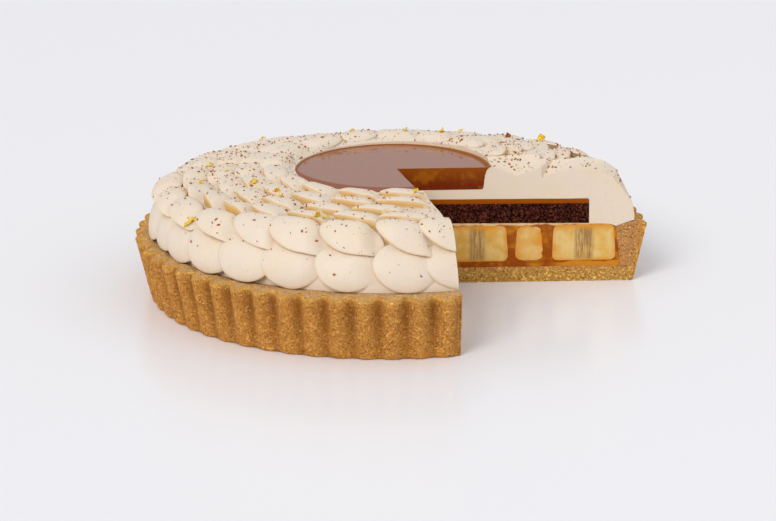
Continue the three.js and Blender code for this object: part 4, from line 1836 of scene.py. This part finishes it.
    def build(self, finish: CreamFinish) -> Object:
        """Makes the finished cream.

        Args:
            finish: Its finish.

        Returns:
            The cream, with the wedge out.
        """
        shapes = [ring.petal(variant) for ring in PETAL_RINGS for variant in range(self.variants)]
        petals = gathered("petal_shapes", shapes)
        tools = {
            "Mound": self.mound(),
            "Bank": self.bank(),
            "Trim": self.trim(),
            "Bed": self.bed(),
            "Sheet": Layer(self.sheet.radius, 20, self.sheet.top, self.sheet.sag).solid("under_sheet", -0.1),
            "Well": self.pool.body("well", 0.0, [(self.pool.radius, 75), (0, 75)]),
            "Knife": WEDGE.knife("cream_knife", Cut(0, 2.0, clean_slice(0.3, 14)), low=26, high=64),
        }
        cream = grown(self.piping_points(), self.tree(), {
            **tools, "Petals": petals, "Rim Radius": self.crust.rim_radius, "Front Pull": self.front_pull,
            "Front Rise": self.front_rise, "Back Fall": self.back_fall, "Unevenness": self.unevenness,
            "Material": finish.material(),
        })
        dropped(*tools.values())
        scattered(petals)
        WEDGE.mark_faces(cream)
        return creased(cream, angle=38)


# ---- Toppings ----


def bent_sheet(columns: int, rows: int, place: Callable[[float, float], Any], thick: float) -> Shape:
    """Makes a thin closed sheet from the surface through its middle.

    Args:
        columns: How many points lie along it.
        rows: How many lie across it.
        place: The middle surface's place at shares from -1 to 1 along and across.
        thick: How thick the sheet is.

    Returns:
        The sheet.
    """
    grid = np.array([[place(u, v) for u in np.linspace(-1, 1, columns)] for v in np.linspace(-1, 1, rows)])
    normal = np.cross(np.gradient(grid, axis=1), np.gradient(grid, axis=0))
    normal *= thick / 2 / np.linalg.norm(normal, axis=-1, keepdims=True)
    return between(grid + normal, grid - normal)


@dataclass(frozen=True)
class Shavings:
    """Finely grated chocolate over the cream, and one larger curl."""

    size: float = 1.0
    smallest: float = 0.7
    largest: float = 2.2
    density: float = 0.10
    seed: int = 7
    curl_place: Triple = (56.9, 67.8, 0)

    def flake(self, number: int) -> Shape:
        """Makes one bent, ragged flake about a millimetre long.

        Args:
            number: Which flake it is.

        Returns:
            The flake.
        """
        sides = 5
        wide, deep = self.size * (0.26 + 0.05 * number), self.size * 0.14
        points = [(0.0, 0.0, deep)]
        for level, share in ((deep, 0.8), (0.0, 1.0)):
            for k in range(sides):
                turn = math.tau * k / sides
                ragged = 1 + 0.35 * ripple(k * 3.1, number * 5.7, level, 1.3)
                x = self.size * 0.5 * math.cos(turn) * ragged * share
                y = wide * math.sin(turn) * ragged * share
                points.append((x, y, level + 0.5 * x * x - 0.1 * self.size))
        points.append((0.0, 0.0, -0.15 * self.size))
        return Shape(np.array(points), pole_faces(2, sides))

    def curl(self) -> Shape:
        """Makes the larger curl, which stands on its edge."""
        def place(u: float, v: float) -> Triple:
            """Gives the middle surface at shares from -1 to 1 along and across."""
            turn = 1.9 * u
            return 0.9 * math.sin(turn) + 0.5 * v, 0.8 * math.cos(turn), (1.3 - 0.5 * u) * v + 0.5 - 0.4 * u
        return bent_sheet(14, 5, place, 0.35)

    def tree(self) -> Bench:
        """Builds the tree that scatters the flakes over what faces up."""
        bench = Bench.geometry("grated_over", {
            "Flakes": "NodeSocketCollection", "Curl": "NodeSocketObject", "Curl Place": (0.0, 0.0, 0.0),
            "Density": 0.1, "Smallest": 0.5, "Largest": 1.6, "Seed": 7})
        given, maths, times = bench.given, bench.maths, bench.times
        place = bench.place()
        _, y, z, _ = bench.split(place)
        tilt = bench.split(bench.node("GeometryNodeInputNormal").outputs[0])[2]
        upward = bench.ranged(tilt, 0.1, 0.45)
        high = bench.ranged(z, 42 * MM, 57 * MM, 0.13, 1)
        behind = bench.ranged(y, -80 * MM, 20 * MM, 0.55, 1.1)
        clumps = bench.ranged(bench.noise(place, 16, 2, 0.6), 0.36, 0.62, 0.35, 1.5)
        uncut = maths("LESS_THAN", bench.named("cut"), 0.5)
        amount = times(times(upward, high, behind), times(clumps, uncut))
        spread = bench.node("GeometryNodeDistributePointsOnFaces", {
            "Mesh": given("Geometry"), "Density": times(given("Density"), PER_SQUARE_METRE, amount),
            "Seed": given("Seed")})
        spin = bench.node("FunctionNodeRandomValue", {
            "Min": (0, 0, 0), "Max": (1.2, 1.2, math.tau), "Seed": 3}, data_type="FLOAT_VECTOR")
        size = bench.node("FunctionNodeRandomValue", {
            2: 0.0, 3: 1.0, "Seed": 5}, data_type="FLOAT").outputs[1]
        grown_size = maths("MULTIPLY_ADD", maths("POWER", size, 2.6),
                           maths("SUBTRACT", given("Largest"), given("Smallest")), given("Smallest"))
        picked = bench.node("FunctionNodeRandomValue", {4: 0, 5: 3, "Seed": 9}, data_type="INT").outputs[2]
        leaning = bench.node("FunctionNodeRotateRotation", {
            0: spread.outputs["Rotation"],
            1: bench.node("FunctionNodeEulerToRotation", {0: spin.outputs[0]}).outputs[0]},
            rotation_space="LOCAL")
        flakes = bench.instanced(spread.outputs["Points"], "Flakes", picked, leaning.outputs[0], grown_size)
        spot = bench.node("GeometryNodePoints", {"Count": 1, "Position": given("Curl Place")})
        curl = bench.node("GeometryNodeInstanceOnPoints", {
            "Points": bench.landed(spot.outputs[0], given("Geometry")), "Instance": bench.piece("Curl")})
        both = bench.node("GeometryNodeJoinGeometry")
        for part in (flakes, curl.outputs[0]):
            bench.feed(both.inputs[0], part)
        return bench.finished(both.outputs[0])

    def build(self, cream: Object, material: Material) -> Object:
        """Scatters the flakes.

        Args:
            cream: The cream they lie on.
            material: Their material.

        Returns:
            All the flakes and the curl as one object.
        """
        flakes = gathered("flake_shapes", [self.flake(number) for number in range(4)])
        curl = self.curl().placed("curl_shape")
        x, y, z = self.curl_place
        grated = grown(linked("grated_chocolate", cream.data.copy()), self.tree(), {
            "Flakes": flakes, "Curl": curl, "Curl Place": (x * MM, y * MM, z * MM), "Density": self.density,
            "Smallest": self.smallest, "Largest": self.largest, "Seed": self.seed, "Material": material})
        scattered(flakes)
        dropped(curl)
        return grated


@dataclass(frozen=True)
class GoldLeaf:
    """Crinkled flakes of gold leaf on the cream."""

    length: float = 4.3
    width: float = 2.5
    thick: float = 0.14
    shapes: int = 4

    def flake(self, number: int) -> Shape:
        """Makes one crinkled flake.

        Args:
            number: Which flake it is.

        Returns:
            The flake.
        """
        def place(u: float, v: float) -> Triple:
            """Gives the middle surface at shares from -1 to 1 along and across."""
            torn = 1 + 0.45 * ripple(u * 1.7, v * 1.7, number * 3.3, 1) - 0.25 * abs(u * v)
            along = self.length / 2 * u * torn
            pinched = 1 - 0.55 * math.sin(2.6 * u + 1.9 * number) ** 2
            across = self.width / 2 * v * torn * pinched
            up = ripple(u * 1.6, v * 1.3, number * 7.7, 1) + 0.7 * ripple(u * 3.4, v * 3.1, number * 2.1, 1)
            return along, across, up + 0.3
        return bent_sheet(13, 7, place, self.thick)

    def tree(self) -> Bench:
        """Builds the tree that lays the flakes on the cream."""
        bench = Bench.geometry("laid_leaf", {"Cream": "NodeSocketObject", "Leaves": "NodeSocketCollection"})
        landed, named = bench.landed(bench.given("Geometry"), bench.piece("Cream")), bench.named
        return bench.finished(bench.instanced(
            landed, "Leaves", named("pick"), named("turn", "FLOAT_VECTOR"), named("size")))

    def build(self, cream: Object, material: Material) -> Object:
        """Lays the flakes.

        Args:
            cream: The cream they lie on.
            material: Their material.

        Returns:
            All the flakes as one object.
        """
        x, y, size, turn, lean = np.array(LEAF_SPOTS, float).T
        flat, pick = np.zeros(len(x)), np.arange(len(x)) % self.shapes * 1.0
        turns = np.stack([flat, -np.radians(lean), np.radians(turn)], -1)
        marks = {"turn": turns, "size": size, "pick": pick}
        spots = Shape(np.stack([x, y, flat], -1), [], marks)
        leaves = gathered("leaf_shapes", [self.flake(number) for number in range(self.shapes)])
        laid = grown(spots.placed("gold_leaf"), self.tree(), {
            "Cream": cream, "Leaves": leaves, "Material": material})
        scattered(leaves)
        return laid


# Each flake's place to the right of the axis and behind it, its size where 1 is about 4 mm, the way
# it points and how far it stands up from lying flat, in degrees.
LEAF_SPOTS = [
    (-18.6, 63.6, 0.9, 20, 30),
    (6.5, 54.6, 1.1, -15, 35),
    (23.7, 50.3, 1.2, 10, 40),
    (34.2, 96.1, 0.9, 30, 50),
    (-62.9, 81.5, 1.3, -20, 40),
    (-86.2, 16.9, 1.2, 15, 35),
    (-76.8, -3, 0.6, 40, 20),
    (-88.1, -19.3, 1.0, 0, 40),
    (-62.8, -29.8, 1.3, 25, 25),
    (-52.2, -47.3, 1.3, -60, 35),
    (-50.6, -56.7, 0.9, 50, 30),
    (-91.2, -54.6, 1.6, 30, 30),
    (-86.6, -53, 1.0, -30, 20),
    (-33.4, -86.2, 1.5, -45, 45),
    (-30.4, -84.8, 1.0, 20, 20),
    (10.7, -57, 1.2, 10, 55),
    (14.0, -56.2, 0.8, -40, 30),
    (72.9, 67.5, 1.55, 80, 75),
    (71, 61, 1.2, 50, 35),
]


# ---- Scene ----


@dataclass(frozen=True)
class Studio:
    """A pale floor, soft light and the camera."""

    lens: float = 164.26
    sensor: float = 36
    eye: Triple = (0, -1593.98, 489.67)
    pitch: float = 16.685
    yaw: float = -0.0678
    roll: float = -0.679
    floor_radius: float = 4000
    floor_depth: float = 8
    gap: float = 0.05
    floor_colour: Colour = (0.93, 0.925, 0.955)
    floor_roughness: float = 0.22
    floor_sheen: float = 0.3
    window_from: Triple = (-0.44, -0.74, 0.72)
    window_spread: float = 28
    window_power: float = 1.38
    window_tint: Colour = (1.0, 0.98, 0.95)
    fill_place: Triple = (1.3, -0.6, 0.9)
    fill_aim: Triple = (0, 0, 0.03)
    fill_width: float = 1.2
    fill_power: float = 1.5
    fill_tint: Colour = (0.95, 0.97, 1.0)
    sky: Colour = (0.97, 0.98, 1.0)
    sky_power: float = 0.68

    def camera(self) -> None:
        """Stands the camera where the view was taken from."""
        pitch, yaw, roll = (math.radians(a) for a in (self.pitch, self.yaw, self.roll))
        flat = Vector((math.cos(yaw), -math.sin(yaw), 0))
        ahead = Vector((math.sin(yaw) * math.cos(pitch), math.cos(yaw) * math.cos(pitch), -math.sin(pitch)))
        upright = flat.cross(ahead)
        right = math.cos(roll) * flat + math.sin(roll) * upright
        up = -math.sin(roll) * flat + math.cos(roll) * upright
        data = bpy.data.cameras.new("camera")
        data.lens, data.sensor_width = self.lens, self.sensor
        data.clip_start, data.clip_end = 0.05, 50
        camera = linked("camera", data)
        turned = Matrix((right, up, -ahead)).transposed().to_4x4()
        camera.matrix_world = Matrix.Translation(Vector(self.eye) * MM) @ turned
        bpy.context.scene.camera = camera

    def floor(self) -> None:
        """Lays the floor a hair under the tart."""
        low, high = -self.floor_depth, -self.gap
        profile = [(0, low), (self.floor_radius, low), (self.floor_radius, high), (0, high)]
        floor = revolved(profile, 96).placed("floor")
        pale = principled("pale_floor", self.floor_colour, self.floor_roughness, self.floor_sheen)[2]
        creased(floor, pale, angle=30)

    def lit(self, light: Light, place: Triple, aim: Triple, power: float, tint: Colour) -> None:
        """Hangs a light.

        Args:
            light: The light, with the settings of its own kind.
            place: Where it hangs, in metres; from far away, the way it comes from.
            aim: What it points at, in metres.
            power: Its power in watts; from far away, its strength.
            tint: Its colour.
        """
        light.energy, light.color = power, tint
        lamp = linked(light.name, light)
        lamp.location = place
        lamp.rotation_mode = "QUATERNION"
        lamp.rotation_quaternion = (Vector(aim) - Vector(place)).to_track_quat("-Z", "Y")

    def build(self) -> None:
        """Sets the whole stage."""
        self.camera()
        self.floor()
        window = bpy.data.lights.new("window", "SUN")
        window.angle = math.radians(self.window_spread)
        self.lit(window, self.window_from, (0, 0, 0), self.window_power, self.window_tint)
        fill = bpy.data.lights.new("fill", "AREA")
        fill.shape, fill.size = "DISK", self.fill_width
        self.lit(fill, self.fill_place, self.fill_aim, self.fill_power, self.fill_tint)
        world = bpy.data.worlds.new("studio")
        world.use_nodes = True
        backdrop = world.node_tree.nodes["Background"]
        backdrop.inputs[0].default_value = opaque(self.sky)
        backdrop.inputs[1].default_value = self.sky_power
        bpy.context.scene.world = world
        bpy.context.scene.view_settings.view_transform = "Standard"


def shown(piece: Object, node: str | None, slot: str) -> None:
    """Hands a piece to the frame and reports it.

    Args:
        piece: The finished piece.
        node: The CAD node it stands for, if any.
        slot: The record's material slot; it is not used.
    """
    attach(piece, BODY)
    if node:
        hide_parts(node)
    triangles = sum(len(face.vertices) - 2 for face in piece.data.polygons)
    LOG.info("%s: %d triangles", piece.name, triangles)


def main() -> None:
    """Builds the tart and its stage."""
    logging.basicConfig(level=logging.INFO, format="%(relativeCreated)6d ms %(message)s")
    effects = Effects()
    crust = Crust()
    sheet = Layer(radius=92.9, bottom=38.6, top=41.1)
    pool = Pool()
    cream = Cream(crust, sheet, pool).build(CreamFinish(effects, (0.80, 0.685, 0.56), 0.5, 0.3))
    shown(cream, "cream", "cream")
    shown(crust.build(CrustFinish(effects, (0.93, 0.43, 0.095), 0.75)), "crust", "crust")
    filling = Filling(crust)
    caramel = CaramelFinish(
        effects, (0.34, 0.085, 0.008), 0.3, 0.06, deep=(0.30, 0.065, 0.003), low=8, high=27,
        film_height=27.7, glow=0.65)
    shown(filling.caramel(caramel.material("soft_caramel")), "caramel_filling", "caramel_filling")
    banana = BananaFinish(effects, (0.77, 0.56, 0.23), 0.38, 0.08).material()
    for number, piece in enumerate(filling.slices(banana), 1):
        shown(piece, f"banana_slice_{number}", "banana")
    sponge_cut = Cut(0.15, 0.36, crumbly_slice(0.45, 1.5, 0.9, 1.3))
    sponge = Layer(radius=92.6, bottom=29.2, top=38.6).build(
        "cocoa_sponge", sponge_cut, SpongeFinish(effects, (0.115, 0.022, 0.012), 0.8, 0.03).material())
    shown(sponge, "chocolate_sponge", "chocolate_sponge")
    thin = CaramelFinish(
        effects, (0.33, 0.082, 0.001), 0.25, 0.04, deep=(0.29, 0.062, 0.001), low=38, high=41, glints=0.05)
    shown(sheet.build("thin_caramel", Cut(0.2, 0.8, clean_slice(0.12, 5)), thin.material("thin_caramel")),
          "caramel_sheet", "caramel_sheet")
    glossy = CaramelFinish(
        effects, (0.27, 0.062, 0.004), 0.2, 0.05, deep=(0.17, 0.022, 0.003), low=47, high=55.5,
        gloss=0.85, glints=0.05, glow=0.22)
    shown(pool.build(glossy.material("glossy_caramel")), "caramel_pool", "caramel_pool")
    grated = FleckFinish(effects, (0.36, 0.10, 0.03), 0.5).material("grated_chocolate")
    shown(Shavings().build(cream, grated), None, "chocolate_shavings")
    gold = FleckFinish(effects, (1.0, 0.76, 0.06), 0.35, 0.5, other=(0.92, 0.52, 0.02), metal=0.35, vary=1.0)
    shown(GoldLeaf().build(cream, gold.material("gold_leaf")), None, "gold_leaf")
    Studio().build()


if __name__ == "__main__":
    main()
